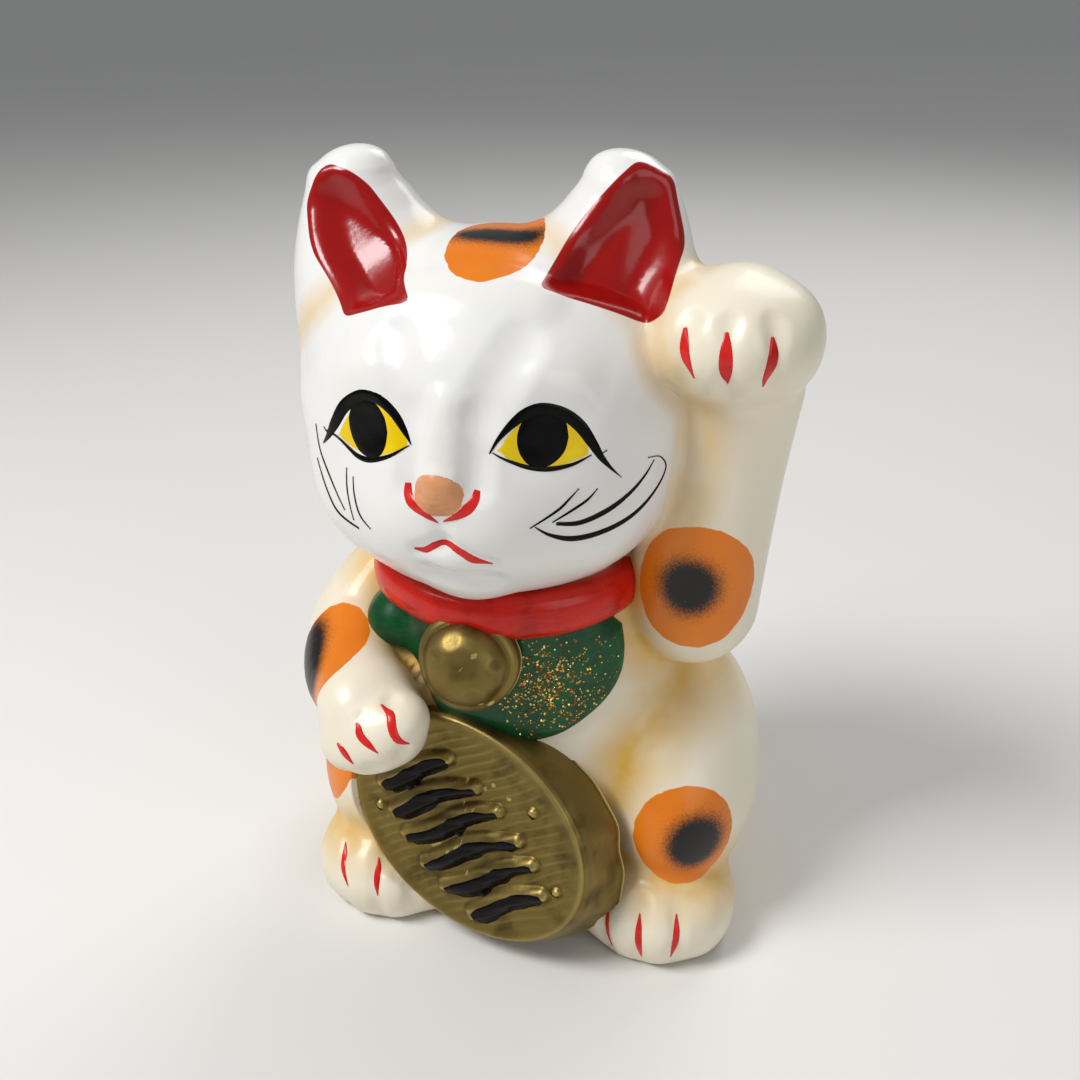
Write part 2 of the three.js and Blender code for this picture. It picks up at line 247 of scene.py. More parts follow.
@dataclass(frozen=True)
class Touch:
    """A sculptor's push or groove: a soft swelling (positive) or hollow (negative) between two points."""

    start: Point
    reach: float
    push: float
    end: Optional[Point] = None

    def lift(self, points: np.ndarray) -> np.ndarray:
        """Returns how far the surface moves outwards at each point."""
        start = np.array(self.start)
        off = points - start
        if self.end is not None:
            along = np.array(self.end) - start
            share = np.clip(off @ along / (along @ along), 0.0, 1.0)
            off = off - share[:, None] * along
        reach = np.linalg.norm(off, axis=1) / self.reach
        return self.push * np.maximum(1 - reach ** 2, 0.0) ** 2


@dataclass(frozen=True)
class Scoop:
    """A bowl pressed into an ear's front, under an outline of corners in order round it."""

    corners: Sequence[Point]
    deep: float = 5.0
    slope: float = 8.0

    @cached_property
    def frame(self) -> tuple[np.ndarray, np.ndarray]:
        """The outline's middle, and its two flat directions and its outward one as columns."""
        spots = np.array(self.corners, float)
        middle = spots.mean(0)
        turned = np.linalg.svd(spots - middle)[2]
        turned[2] *= -np.sign(turned[2, 1])
        turned[1] = np.cross(turned[2], turned[0])
        return middle, turned.T

    def inside(self, points: np.ndarray) -> np.ndarray:
        """Returns how far each point lies inside the outline, negative outside or behind the ear's front."""
        middle, basis = self.frame
        local = (points - middle) @ basis
        flat = (np.array(self.corners, float) - middle) @ basis[:, :2]
        after = np.roll(flat, -1, axis=0)
        turning = np.sign((flat[:, 0] * after[:, 1] - flat[:, 1] * after[:, 0]).sum())
        result = np.full(len(points), 30.0)
        for start, end in zip(flat, after):
            along = (end - start) / np.linalg.norm(end - start)
            result = melt(result, turning * (along[0] * (local[:, 1] - start[1])
                                             - along[1] * (local[:, 0] - start[0])), 2.0)
        return np.minimum(result, local[:, 2] + 13.0)

    def press(self, points: np.ndarray) -> np.ndarray:
        """Returns how far the surface is pushed in at each point."""
        share = np.clip(self.inside(points) / self.slope, 0, 1)
        return self.deep * share * share * (3 - 2 * share)


@dataclass(frozen=True)
class Casting:
    """One moulded part of the cat: its forms, how they melt together, and how it melts into the rest."""

    node: str
    forms: Sequence[Egg | Limb | Stack]
    melt_inside: float = 6.0
    melt_outside: float = 4.0
    seats: Sequence[Seat] = ()
    scoops: Sequence[Scoop] = ()

    @cached_property
    def bounds(self) -> tuple[np.ndarray, np.ndarray]:
        """A box that holds the part with room to spare."""
        margin = 16.0
        spots = []
        for form in self.forms:
            if isinstance(form, Egg):
                reach = max(form.radii)
                spots += [np.array(form.at) - reach, np.array(form.at) + reach]
            elif isinstance(form, Limb):
                path = form.path
                spots += [(path[:, :3] - path[:, 3:]).min(0), (path[:, :3] + path[:, 3:]).max(0)]
            else:
                z, rx, ry, x, y = form.table.T
                spots += [np.array([(x - rx).min(), (y - ry).min(), z[0]]),
                          np.array([(x + rx).max(), (y + ry).max(), z[-1]])]
        return np.min(spots, 0) - margin, np.max(spots, 0) + margin

    def distance(self, points: np.ndarray) -> np.ndarray:
        """Returns each point's distance to the part; far points are given a plain large one."""
        low, high = self.bounds
        near = np.all((points > low) & (points < high), axis=1)
        result = np.full(len(points), 16.0)
        if near.any():
            inside = points[near]
            total = self.forms[0].distance(inside)
            for form in self.forms[1:]:
                total = melt(total, form.distance(inside), self.melt_inside)
            for seat in self.seats:
                total = carve(total, seat.distance(inside), 1.0)
            result[near] = total
        return result


# ---- the cat's form -------------------------------------------------------------------------------

FOOT_PLANE = 0.0
EARS_X = -7.5


def ear_casting(node: str, side: int, corners: Sequence[Point]) -> Casting:
    """Returns an ear with its scoop's corners; side is -1 for the cat's right ear and 1 for its left."""
    out = [(146, 17, 21, 21, -5), (158, 21, 24.5, 24.5, -7.5), (168, 22.5, 23.5, 26.8, -9.8),
           (178, 21, 20.5, 28.6, -10), (187, 18, 16.3, 30.2, -10), (195, 13.8, 12.2, 32.0, -10.2),
           (201, 10, 8.6, 33.4, -11)]
    stations = [(z, rx, ry, EARS_X + side * x, y) for z, rx, ry, x, y in out]
    tip = Egg((EARS_X + side * 33.4, -10.8, 200.0), (10, 8.6, 6.4), (0, side * 14, 0))
    return Casting(node, [Stack(stations, 2.0), tip], 3.0, 9.0, scoops=[Scoop(corners)])


COLLAR_AT = (-4.0, -8.0, 101.0)
COLLAR_RADIUS = 34.0
COIN_AT = (-8.8, -50.7, 38.0)
COIN_TURN = (80.0, -14.0, -26.6)
COIN_SEAT = Seat(COIN_AT, COIN_TURN, 37.0, 30.1, -2.5, 9.0)


def hind_paw(node: str, side: int) -> Casting:
    """Returns a hind paw with three toes; side is -1 for the cat's right paw and 1 for its left."""
    x = 2.5 + side * 40
    toes = [Egg((x + step - side * 2.5, -42.0 + 0.03 * step * step, 9.5), (6.6, 10.5, 11.6))
            for step in (-14.0, -4.8, 4.8, 14.0)]
    return Casting(node, [Egg((x, -31, 10.5), (19.5, 22, 14)), *toes], 8.0, 4.5, [COIN_SEAT])


def haunch(node: str, side: int) -> Casting:
    """Returns a haunch; side is -1 for the cat's right and 1 for its left."""
    return Casting(node, [Egg((2.5 + side * 39, -6, 40), (24.5, 40, 31), (24, 0, side * 6))], 4.0, 7.0,
                   [COIN_SEAT])


CASTINGS = [
    Casting("body_casting",
            [Stack([(0, 49, 43, 2, 6), (8, 52, 46, 2, 6), (35, 53, 47, 1, 4), (60, 49, 43, 0, 1),
                    (80, 43, 38, -2, -3), (95, 37, 34, -3, -6), (106, 32, 31, -4, -8),
                    (117, 25, 25, -4, -8)])],
            4.0, 4.0),
    haunch("left_haunch", 1),
    haunch("right_haunch", -1),
    hind_paw("left_hind_paw", 1),
    hind_paw("right_hind_paw", -1),
    Casting("tail",
            [Limb([(34, 40, 12, 8), (22, 49, 13, 9), (6, 52, 22, 9), (-3, 49, 36, 8), (-1, 46, 48, 6.5)])],
            4.0, 5.0),
    Casting("resting_arm",
            [Limb([(-39.5, -12, 91, 12.5), (-45, -20, 80, 14.5), (-42, -36, 75, 13.5), (-34, -47, 75, 11.5)]),
             Egg((-30, -53, 73), (14.5, 12, 9.8), (0, 35, 0)),
             *(Egg(toe, (5.4, 6.5, 5.8), (0, 35, 0)) for toe in
               ((-20, -57.5, 76.5), (-25.5, -60, 72), (-31.5, -59.5, 68.5), (-37, -56, 67)))],
            7.0, 4.0),
    Casting("raised_arm",
            [Limb([(45, -13, 95, 17.5), (47, -13, 112, 17), (50.5, -13, 134, 15.8), (53, -15.5, 155, 16.2)]),
             Egg((53.5, -24, 171), (16.8, 20.5, 13.8)),
             *(Egg((53 + x, -34 + 0.04 * x * x, 169), (6.0, 10, 8.8)) for x in (-12, -4.2, 4.2, 12))],
            8.0, 4.5),
    Casting("head_casting",
            [Egg((-5, -14, 146), (47.5, 44, 41.5)), Egg((-5, -24, 130), (41.5, 34, 26)),
             Egg((-5, -18, 155), (44.5, 39, 30)), Egg((-5.5, -45, 133), (21, 15.5, 17))],
            12.0, 3.0),
    ear_casting("left_ear", 1, [(12, -39, 182), (36, -33, 174), (40, -16, 188), (36, -13, 201),
                                (29, -16, 205),
                                (17, -22, 193)]),
    ear_casting("right_ear", -1, [(-16, -45, 179), (-33, -41, 174), (-47, -25, 185), (-50, -19, 195),
                                  (-44, -18, 203), (-36, -20, 201)]),
]
EAR_CASTINGS = CASTINGS[-2:]
TOUCHES = [
    # eye sockets, brows and the furrows that run down beside the bridge of the nose
    Touch((-23.5, -57, 154), 15, -1.5), Touch((16, -56, 154), 15, -1.5),
    Touch((-27, -54, 168), 12, 0.9, (-20, -56, 168)), Touch((12, -55, 169), 12, 0.9, (20, -52, 168)),
    Touch((-12.5, -60, 160), 5.5, -1.5, (-13, -62, 144)), Touch((3.5, -60, 160), 5.5, -1.5, (2, -62, 144)),
    Touch((-12.5, -60, 160), 7.5, -2.0, (-18, -52, 172)), Touch((3.5, -59, 160), 7.5, -2.0, (10, -51, 173)),
    # bridge, nose, muzzle pads, the groove under the nose, lips and chin
    Touch((-4.5, -60, 160), 7.5, 1.4, (-5.7, -63, 147)), Touch((-5.8, -65, 142.5), 8.0, 2.0),
    Touch((-15, -60, 133), 11, 0.9), Touch((4.5, -60, 133), 11, 0.9),
    Touch((-5.5, -65, 137), 3.6, -1.1, (-5.3, -64, 131)),
    Touch((-11.5, -62, 128), 3.2, -0.9, (-5.4, -63, 130.5)), Touch((-5.4, -63, 130.5),
                                                                   3.2, -0.9, (5, -60, 125)),
    Touch((-3.5, -61, 124.5), 6.5, 0.9), Touch((-10, -60, 120.5), 5.0, -1.5, (3.5, -58, 119)),
    Touch((-3, -52, 112), 13, 1.6), Touch((-36, -42, 128), 20, 1.4), Touch((28, -42, 128), 20, 1.4),
    # the edge of the forehead between the ears
    Touch((-20, -41, 180), 9, 1.3, (11, -41, 180.5)),
    # grooves between the toes
    Touch((44.4, -41, 177), 4.0, -1.0, (44.6, -42, 158)), Touch((53, -43, 177), 4.0, -1.0, (53, -44, 158)),
    Touch((61.6, -41, 177), 4.0, -1.0, (61.4, -42, 158)),
    Touch((30, -47, 21), 4.0, -0.9, (30.5, -51, 3)), Touch((39.5, -50, 22), 4.0, -0.9, (39.5, -54, 3)),
    Touch((49, -49, 21), 4.0, -0.9, (49, -53, 3)),
    Touch((-45, -46, 21), 4.0, -0.9, (-44.5, -50, 3)), Touch((-35, -49, 22), 4.0, -0.9, (-34.5, -54, 3)),
    Touch((-25, -49, 21), 4.0, -0.9, (-25, -53, 3)),
    Touch((-23, -58, 82), 3.6, -1.0, (-19, -64, 71)), Touch((-29.5, -61, 78), 3.6, -1.0, (-26, -66, 67)),
    Touch((-35.5, -60, 74), 3.6, -1.0, (-33, -64, 63)),
]


class CatForm:
    """The whole casting as one smooth field, with the sculptor's touches and the cuts in its foot."""

    recess = (36.0, 30.0, 3.2)
    bung_hole = 15.0

    def parts(self, points: np.ndarray) -> np.ndarray:
        """Returns each point's distance to each casting, one column a casting."""
        return np.stack([casting.distance(points) for casting in CASTINGS], axis=1)

    def distance(self, points: np.ndarray) -> np.ndarray:
        """Returns each point's distance to the cat's surface, negative inside."""
        parts = self.parts(points)
        total = parts[:, 0]
        for column, casting in enumerate(CASTINGS[1:], start=1):
            total = melt(total, parts[:, column], casting.melt_outside)
        for touch in TOUCHES:
            total = total - touch.lift(points)
        for casting in EAR_CASTINGS:
            total = total + casting.scoops[0].press(points)
        total = carve(total, points[:, 2] - FOOT_PLANE, 1.6)
        return carve(total, self.recess_tool(points), 0.8)

    def recess_tool(self, points: np.ndarray) -> np.ndarray:
        """Returns the distance to the recess and the bung's hole under the base."""
        rx, ry, height = self.recess
        x, y, z = points[:, 0] - BUNG_AXIS[0], points[:, 1] - BUNG_AXIS[1], points[:, 2]
        dish = np.maximum(oval(x, y, rx, ry), z - height)
        hole = np.maximum(np.hypot(x, y) - self.bung_hole, z - 9.0)
        return np.minimum(dish, hole)


def outward(shape: Field, points: np.ndarray, step: float = 0.05) -> tuple[np.ndarray, np.ndarray]:
    """Finds distances and the directions in which they grow.

    Args:
        shape: The field to read.
        points: Where to read it.
        step: How far apart the readings are, in millimetres.

    Returns:
        The distance at each point and the gradient there.
    """
    here = shape(points)
    slope = np.stack([(shape(points + np.eye(3)[i] * step) - here) / step for i in range(3)], axis=1)
    return here, slope


def settle(shape: Field, points: np.ndarray, rounds: int, reach: float = 1.5) -> np.ndarray:
    """Moves points onto a field's zero surface along its slope, at most reach at a time."""
    for _ in range(rounds):
        here, slope = outward(shape, points)
        length = np.maximum((slope ** 2).sum(1), 0.2)
        points = points - (np.clip(here, -reach, reach) / length)[:, None] * slope
    return points


def read_points(mesh: bpy.types.Mesh) -> np.ndarray:
    """Returns a mesh's vertex positions as rows."""
    flat = np.empty(len(mesh.vertices) * 3, np.float32)
    mesh.vertices.foreach_get("co", flat)
    return flat.reshape(-1, 3).astype(float)


def write_points(mesh: bpy.types.Mesh, points: np.ndarray) -> None:
    """Sets a mesh's vertex positions from rows."""
    mesh.vertices.foreach_set("co", points.astype(np.float32).ravel())
    mesh.update()


def new_object(name: str, mesh: bpy.types.Mesh) -> bpy.types.Object:
    """Returns a new object in the scene with the given mesh."""
    obj = bpy.data.objects.new(name, mesh)
    bpy.context.scene.collection.objects.link(obj)
    return obj


def apply_modifiers(obj: bpy.types.Object) -> bpy.types.Mesh:
    """Replaces an object's mesh with the one its modifiers make, and clears them."""
    bpy.context.view_layer.update()
    shaped = obj.evaluated_get(bpy.context.evaluated_depsgraph_get())
    made = bpy.data.meshes.new_from_object(shaped)
    obj.modifiers.clear()
    obj.data = made
    return made


class Skin:
    """The cat's whole outer surface, from which each casting's piece is parted."""

    voxel = 0.9
    grow = 0.9

    def __init__(self, form: CatForm) -> None:
        """Keeps the form whose surface this is."""
        self.form = form
        self.mesh: Optional[bpy.types.Mesh] = None
        self.owner = np.empty(0, int)

    def rough_mesh(self) -> bpy.types.Mesh:
        """Returns one closed mesh of all the forms, near the final surface."""
        rough = bmesh.new()
        for casting in CASTINGS:
            for shape in casting.forms:
                shape.rough_out(rough, self.grow)
        bmesh.ops.recalc_face_normals(rough, faces=rough.faces)
        made = bpy.data.meshes.new("rough_skin")
        rough.to_mesh(made)
        rough.free()
        obj = new_object("rough_skin", made)
        cutter = new_object("rough_tools", self.tool_mesh())
        for target, voxel in ((obj, 1.7), (cutter, 1.1)):
            fuse = target.modifiers.new("fuse", "REMESH")
            fuse.mode, fuse.voxel_size = "VOXEL", voxel
            apply_modifiers(target)
        cut = obj.modifiers.new("cut", "BOOLEAN")
        cut.operation, cut.object, cut.solver = "DIFFERENCE", cutter, "EXACT"
        even = obj.modifiers.new("even", "REMESH")
        even.mode, even.voxel_size = "VOXEL", self.voxel
        fused = apply_modifiers(obj)
        bpy.data.objects.remove(obj)
        bpy.data.objects.remove(cutter)
        return fused

    def tool_mesh(self) -> bpy.types.Mesh:
        """Returns what is cut from the rough mesh: the floor, the recess and the bung's hole."""
        tools = bmesh.new()
        rx, ry, height = self.form.recess
        dish = Matrix.Translation((*BUNG_AXIS, height / 2 - 5)) @ Matrix.Diagonal((rx, ry, 1, 1))
        hole = Matrix.Translation((*BUNG_AXIS, 0))
        floor = Matrix.Translation((0, 0, FOOT_PLANE - 20)) @ Matrix.Diagonal((200, 200, 40, 1))
        bmesh.ops.create_cone(tools, cap_ends=True, segments=96, radius1=1, radius2=1, depth=height + 10,
                              matrix=dish)
        bmesh.ops.create_cone(tools, cap_ends=True, segments=64, radius1=self.form.bung_hole,
                              radius2=self.form.bung_hole, depth=17.0, matrix=hole)
        bmesh.ops.create_cube(tools, size=1.0, matrix=floor)
        bmesh.ops.recalc_face_normals(tools, faces=tools.faces)
        made = bpy.data.meshes.new("rough_tools")
        tools.to_mesh(made)
        tools.free()
        return made

    def build(self) -> None:
        """Settles the rough mesh on the cat's surface and finds which casting owns each face.

        An ear owns all of its scoop and the scoop's edge, so that no joint crosses the red.
        """
        mesh = self.rough_mesh()
        points = settle(self.form.distance, read_points(mesh), 5)
        for evening in (3, 2, 1):
            write_points(mesh, points)
            work = bmesh.new()
            work.from_mesh(mesh)
            for _ in range(evening):
                bmesh.ops.smooth_vert(work, verts=work.verts, factor=0.5, use_axis_x=True, use_axis_y=True,
                                      use_axis_z=True)
            work.to_mesh(mesh)
            work.free()
            points = settle(self.form.distance, read_points(mesh), 2)
        write_points(mesh, points)
        self.mesh = mesh
        parts = self.form.parts(points)
        loops = np.empty(len(mesh.loops), np.int64)
        mesh.loops.foreach_get("vertex_index", loops)
        for column, casting in enumerate(CASTINGS):
            if casting in EAR_CASTINGS:
                parts[casting.scoops[0].inside(points) > -2.0, column] = -20.0
        self.owner = parts[loops.reshape(-1, 4)].mean(1).argmin(1)
        LOG.info("skin: %d vertices, %d faces", len(mesh.vertices), len(mesh.polygons))


# ---- helpers for pieces ---------------------------------------------------------------------------

class Slot(Enum):
    """Names of the material slots."""

    WHITE = "white_glaze"
    RED = "red_enamel"
    GREEN = "green_enamel"
    GOLD = "gold_bronze_paint"
    RUBBER = "bung_rubber"


def mesh_from(work: bmesh.types.BMesh, name: str) -> bpy.types.Mesh:
    """Turns a finished bmesh into a mesh and frees it."""
    mesh = bpy.data.meshes.new(name)
    work.to_mesh(mesh)
    work.free()
    return mesh


def thicken(obj: bpy.types.Object, thickness: float) -> bpy.types.Mesh:
    """Gives an open skin a wall on its inner side, and applies it."""
    wall = obj.modifiers.new("wall", "SOLIDIFY")
    wall.thickness, wall.offset, wall.use_rim, wall.use_quality_normals = thickness, -1.0, True, True
    return apply_modifiers(obj)


def hand_over(obj: bpy.types.Object, material: bpy.types.Material, nodes: Sequence[str] = (),
              body: str = "cat") -> None:
    """Finishes a piece modelled in millimetres: puts it in place, dresses it and lets it ride.

    Args:
        obj: The piece.
        material: Its material.
        nodes: The CAD nodes that it stands for.
        body: The body that it moves with.
    """
    BENCH.settle_mesh(obj.data)
    obj.data.materials.clear()
    obj.data.materials.append(material)
    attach(obj, body)
    if nodes:
        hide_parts(*nodes)
    LOG.info("%s: %d faces", obj.name, len(obj.data.polygons))


def smooth_shade(mesh: bpy.types.Mesh, crease: float = 40.0) -> None:
    """Shades a mesh smooth, with edges sharper than the crease angle in degrees left crisp."""
    mesh.polygons.foreach_set("use_smooth", [True] * len(mesh.polygons))
    mesh.set_sharp_from_angle(angle=math.radians(crease))


def keep_numbers(mesh: bpy.types.Mesh, name: str, values: np.ndarray) -> None:
    """Keeps one number for each vertex, for the materials to read."""
    layer = mesh.attributes.get(name) or mesh.attributes.new(name, "FLOAT", "POINT")
    layer.data.foreach_set("value", values.astype(np.float32))


# ---- the sprayed colours --------------------------------------------------------------------------

@dataclass(frozen=True)
class Spot:
    """A coat patch: an orange patch with a crisp edge and a sooty core sprayed over it."""

    patch: Egg
    core: Egg
    fade: float = 5.0


SPOTS = [
    Spot(Egg((47.5, -30, 106.5), (15.8, 15, 16.8)), Egg((46, -31, 107), (6.2, 14, 6.2)), 6.5),
    Spot(Egg((-46.5, -42, 83), (10.5, 15, 15), (0, 14, 0)), Egg((-51.5, -42, 80), (4.6, 14, 8)), 5.5),
    Spot(Egg((-53, -34, 48), (12.5, 14, 18)), Egg((-57, -36, 52), (5.5, 12, 10))),
    Spot(Egg((49.5, -41, 38), (14, 14, 14.5)), Egg((52, -42, 37), (6.2, 12, 6.6)), 6.0),
    Spot(Egg((-2, -24, 188), (10.8, 19, 13)), Egg((-2, -21.5, 189), (9.5, 3.4, 10)), 6.0),
    Spot(Egg((-16, 36, 76), (15, 16, 16)), Egg((-15, 38, 77), (5, 12, 5)), 6.0),
    Spot(Egg((8, 58, 27), (13, 12, 9)), Egg((7, 60, 27), (5, 10, 3)), 4.0),
]


def spray_colours(form: CatForm, mesh: bpy.types.Mesh) -> None:
    """Works out where each sprayed colour lies and keeps it on the mesh.

    Distances are in millimetres, positive inside the colour; the rest run from 0 to 1.
    """
    points = read_points(mesh)
    parts = form.parts(points)
    near = np.sort(parts, axis=1)
    out = points - COLLAR_AT
    collar = np.hypot(np.hypot(out[:, 0], out[:, 1]) - COLLAR_RADIUS, out[:, 2]) - 5.2
    valley = np.minimum(near[:, 1], collar + 1.5)
    heads = [column for column, casting in enumerate(CASTINGS) if "head" in casting.node or "ear" in casting.node]
    head = parts[:, heads].min(1)
    scoops = [casting.scoops[0].inside(points) for casting in EAR_CASTINGS]
    orange = np.max([-spot.patch.distance(points) for spot in SPOTS], axis=0)
    soot = np.max([np.clip(0.5 - spot.core.distance(points) / (2 * spot.fade),
                           0, 1) for spot in SPOTS], axis=0)
    keep_numbers(mesh, "orange", np.clip(orange, -5, 5))
    keep_numbers(mesh, "soot", soot * soot * (3 - 2 * soot))
    keep_numbers(mesh, "scoop", np.clip(np.max(scoops, axis=0) + 0.4, -4, 4))
    keep_numbers(mesh, "valley", np.clip(1.15 - valley / (5 + 7 * np.clip(head / 7, 0, 1)), 0, 1))
    keep_numbers(mesh, "cream", np.clip(head / 7, 0, 1))
    keep_numbers(mesh, "bare", np.clip(1.6 - points[:, 2], 0, 1))


# ---- the slip-cast figure -------------------------------------------------------------------------

@dataclass
class Figure:
    """The slip-cast cat, parted into one closed, walled piece for each casting."""

    wall: float = 4.2
    limb_wall: float = 1.8
    foot_height: float = 5.5
    slot_x: float = -2.0
    slot_z: float = 84.0
    slot_length: float = 38.0
    slot_height: float = 5.0
    least_island: int = 300
    form: CatForm = field(default_factory=CatForm)

    def build(self, skin: Skin, material: bpy.types.Material) -> None:
        """Parts the skin, walls each part and hands it over.

        Args:
            skin: The whole cat's surface.
            material: The glaze over the ceramic, which reads the sprayed colours.
        """
        whole = self.cut_openings(skin)
        spray_colours(self.form, whole)
        names = [casting.node for casting in CASTINGS] + ["base_plate"]
        for key, node in enumerate(names):
            piece = self.part(whole, key, node)
            hand_over(piece, material, [node])
        bpy.data.meshes.remove(whole)

    def cut_openings(self, skin: Skin) -> bpy.types.Mesh:
        """Opens the coin slot and the bung's hole and marks which casting owns each face."""
        work = bmesh.new()
        work.from_mesh(skin.mesh)
        owner = work.faces.layers.int.new("owner")
        for face, key in zip(work.faces, skin.owner):
            face[owner] = int(key)
        self.tidy_islands(work, owner)
        half_x, half_z = self.slot_length / 2, self.slot_height / 2
        self.score(work, lambda at: abs(at.z - self.foot_height) < 1.5, Vector((0, 0, self.foot_height)),
                   Vector((0, 0, 1)))
        for shift, direction in ((half_z, Vector((0, 0, 1))), (-half_z, Vector((0, 0, 1))),
                                 (half_x, Vector((1, 0, 0))), (-half_x, Vector((1, 0, 0)))):
            spot = Vector((self.slot_x, 0, self.slot_z)) + direction * shift
            self.score(work, self.near_slot, spot, direction)
        doomed = []
        for face in work.faces:
            at = face.calc_center_median()
            in_hole = math.hypot(at.x - BUNG_AXIS[0], at.y - BUNG_AXIS[1]) < self.form.bung_hole + 1
            if self.foot_height < at.z < 12 and in_hole:
                doomed.append(face)
            elif at.y > 15 and abs(at.x - self.slot_x) < half_x and abs(at.z - self.slot_z) < half_z:
                doomed.append(face)
            elif face[owner] == 0 and at.z < self.foot_height:
                face[owner] = len(CASTINGS)
        work.normal_update()
        true_normal = work.verts.layers.float_vector.new("true_normal")
        for vert in work.verts:
            vert[true_normal] = vert.normal
        bmesh.ops.delete(work, geom=doomed, context="FACES")
        return mesh_from(work, "whole_skin")

    def near_slot(self, at: Vector) -> bool:
        """Tells whether a place on the skin is close to the coin slot."""
        return (at.y > 15 and abs(at.x - self.slot_x) < self.slot_length / 2 + 3
                and abs(at.z - self.slot_z) < self.slot_height / 2 + 3)

    def score(self, work: bmesh.types.BMesh, chosen: Callable[[Vector], bool], spot: Vector,
              direction: Vector) -> None:
        """Cuts a straight line into the chosen faces where a plane crosses them."""
        faces = [face for face in work.faces if chosen(face.calc_center_median())]
        edges = {edge for face in faces for edge in face.edges}
        verts = {vert for face in faces for vert in face.verts}
        bmesh.ops.bisect_plane(work, geom=[*faces, *edges, *verts], dist=0.02, plane_co=spot,
                               plane_no=direction)

    def tidy_islands(self, work: bmesh.types.BMesh, owner: bmesh.types.BMLayerItem) -> None:
        """Gives each small stray patch of faces to the casting around it."""
        seen = set()
        for start in work.faces:
            if start in seen:
                continue
            key, island, border, queue = start[owner], [], {}, [start]
            seen.add(start)
            while queue:
                face = queue.pop()
                island.append(face)
                for edge in face.edges:
                    for other in edge.link_faces:
                        if other[owner] != key:
                            border[other[owner]] = border.get(other[owner], 0) + 1
                        elif other not in seen:
                            seen.add(other)
                            queue.append(other)
            if len(island) < self.least_island and border:
                better = max(border, key=border.get)
                for face in island:
                    face[owner] = better

    def part(self, whole: bpy.types.Mesh, key: int, node: str) -> bpy.types.Object:
        """Takes one casting's faces from the whole skin and gives them a wall."""
        work = bmesh.new()
        work.from_mesh(whole)
        owner = work.faces.layers.int["owner"]
        bmesh.ops.delete(work, geom=[face for face in work.faces if face[owner] != key], context="FACES")
        outer_verts, outer_loops = len(work.verts), sum(len(face.verts) for face in work.faces)
        piece = new_object(f"{node}_glazed", mesh_from(work, f"{node}_glazed"))
        heavy = key == len(CASTINGS) or node in ("body_casting", "head_casting")
        wall = self.wall if heavy else self.limb_wall
        mesh = thicken(piece, wall)
        points = read_points(mesh)
        points[outer_verts:] = settle(lambda at: self.form.distance(at) + wall, points[outer_verts:], 3)
        write_points(mesh, points)
        bare = np.zeros(len(mesh.vertices), np.float32)
        mesh.attributes["bare"].data.foreach_get("value", bare)
        bare[outer_verts:] = 1.0
        keep_numbers(mesh, "bare", bare)
        self.carry_normals(mesh, outer_loops)
        for spent in ("owner", "true_normal"):
            mesh.attributes.remove(mesh.attributes[spent])
        return piece

    def carry_normals(self, mesh: bpy.types.Mesh, outer_loops: int) -> None:
        """Shades the outer faces with the whole skin's normals, so that no joint shows."""
        smooth_shade(mesh, 55)
        true_normals = np.empty(len(mesh.vertices) * 3, np.float32)
        mesh.attributes["true_normal"].data.foreach_get("vector", true_normals)
        corners = np.empty(len(mesh.loops), np.int64)
        mesh.loops.foreach_get("vertex_index", corners)
        chosen = np.zeros((len(mesh.loops), 3), np.float32)
        chosen[:outer_loops] = true_normals.reshape(-1, 3)[corners[:outer_loops]]
        mesh.normals_split_custom_set(chosen.tolist())


# ---- brushes: raised paint ------------------------------------------------------------------------

def add_disc(work: bmesh.types.BMesh, rings: int, steps: int) -> list[bmesh.types.BMVert]:
    """Adds a flat disc of radius 1 at height 0 to a bmesh and returns its vertices."""
    start = [work.verts.new((ring / rings, 0, 0)) for ring in range(rings + 1)]
    spokes = [work.edges.new(pair) for pair in zip(start[:-1], start[1:])]
    bmesh.ops.spin(work, geom=[*start, *spokes], cent=(0, 0, 0), axis=(0, 0, 1), angle=math.tau, steps=steps,
                   use_merge=True)
    made = [vert for vert in work.verts if vert.co.z == 0 and vert.co.length < 1.001]
    bmesh.ops.remove_doubles(work, verts=made, dist=1e-4)
    return [vert for vert in work.verts if vert.co.z == 0 and vert.co.length < 1.001]


def draw_out(verts: Sequence[bmesh.types.BMVert], loop: np.ndarray) -> tuple[np.ndarray, np.ndarray]:
    """Draws a unit disc out to a closed outline.

    Args:
        verts: The disc's vertices.
        loop: Places round the outline.

    Returns:
        Each vertex's place, and how far out it is from 0 to 1.
    """
    flat = np.array([vert.co for vert in verts])
    share = np.hypot(flat[:, 0], flat[:, 1])
    turn = np.arctan2(flat[:, 1], flat[:, 0]) % math.tau / math.tau * len(loop)
    low = np.floor(turn).astype(int) % len(loop)
    edge = loop[low] + (turn - np.floor(turn))[:, None] * (loop[(low + 1) % len(loop)] - loop[low])
    return loop.mean(0) + share[:, None] * (edge - loop.mean(0)), share


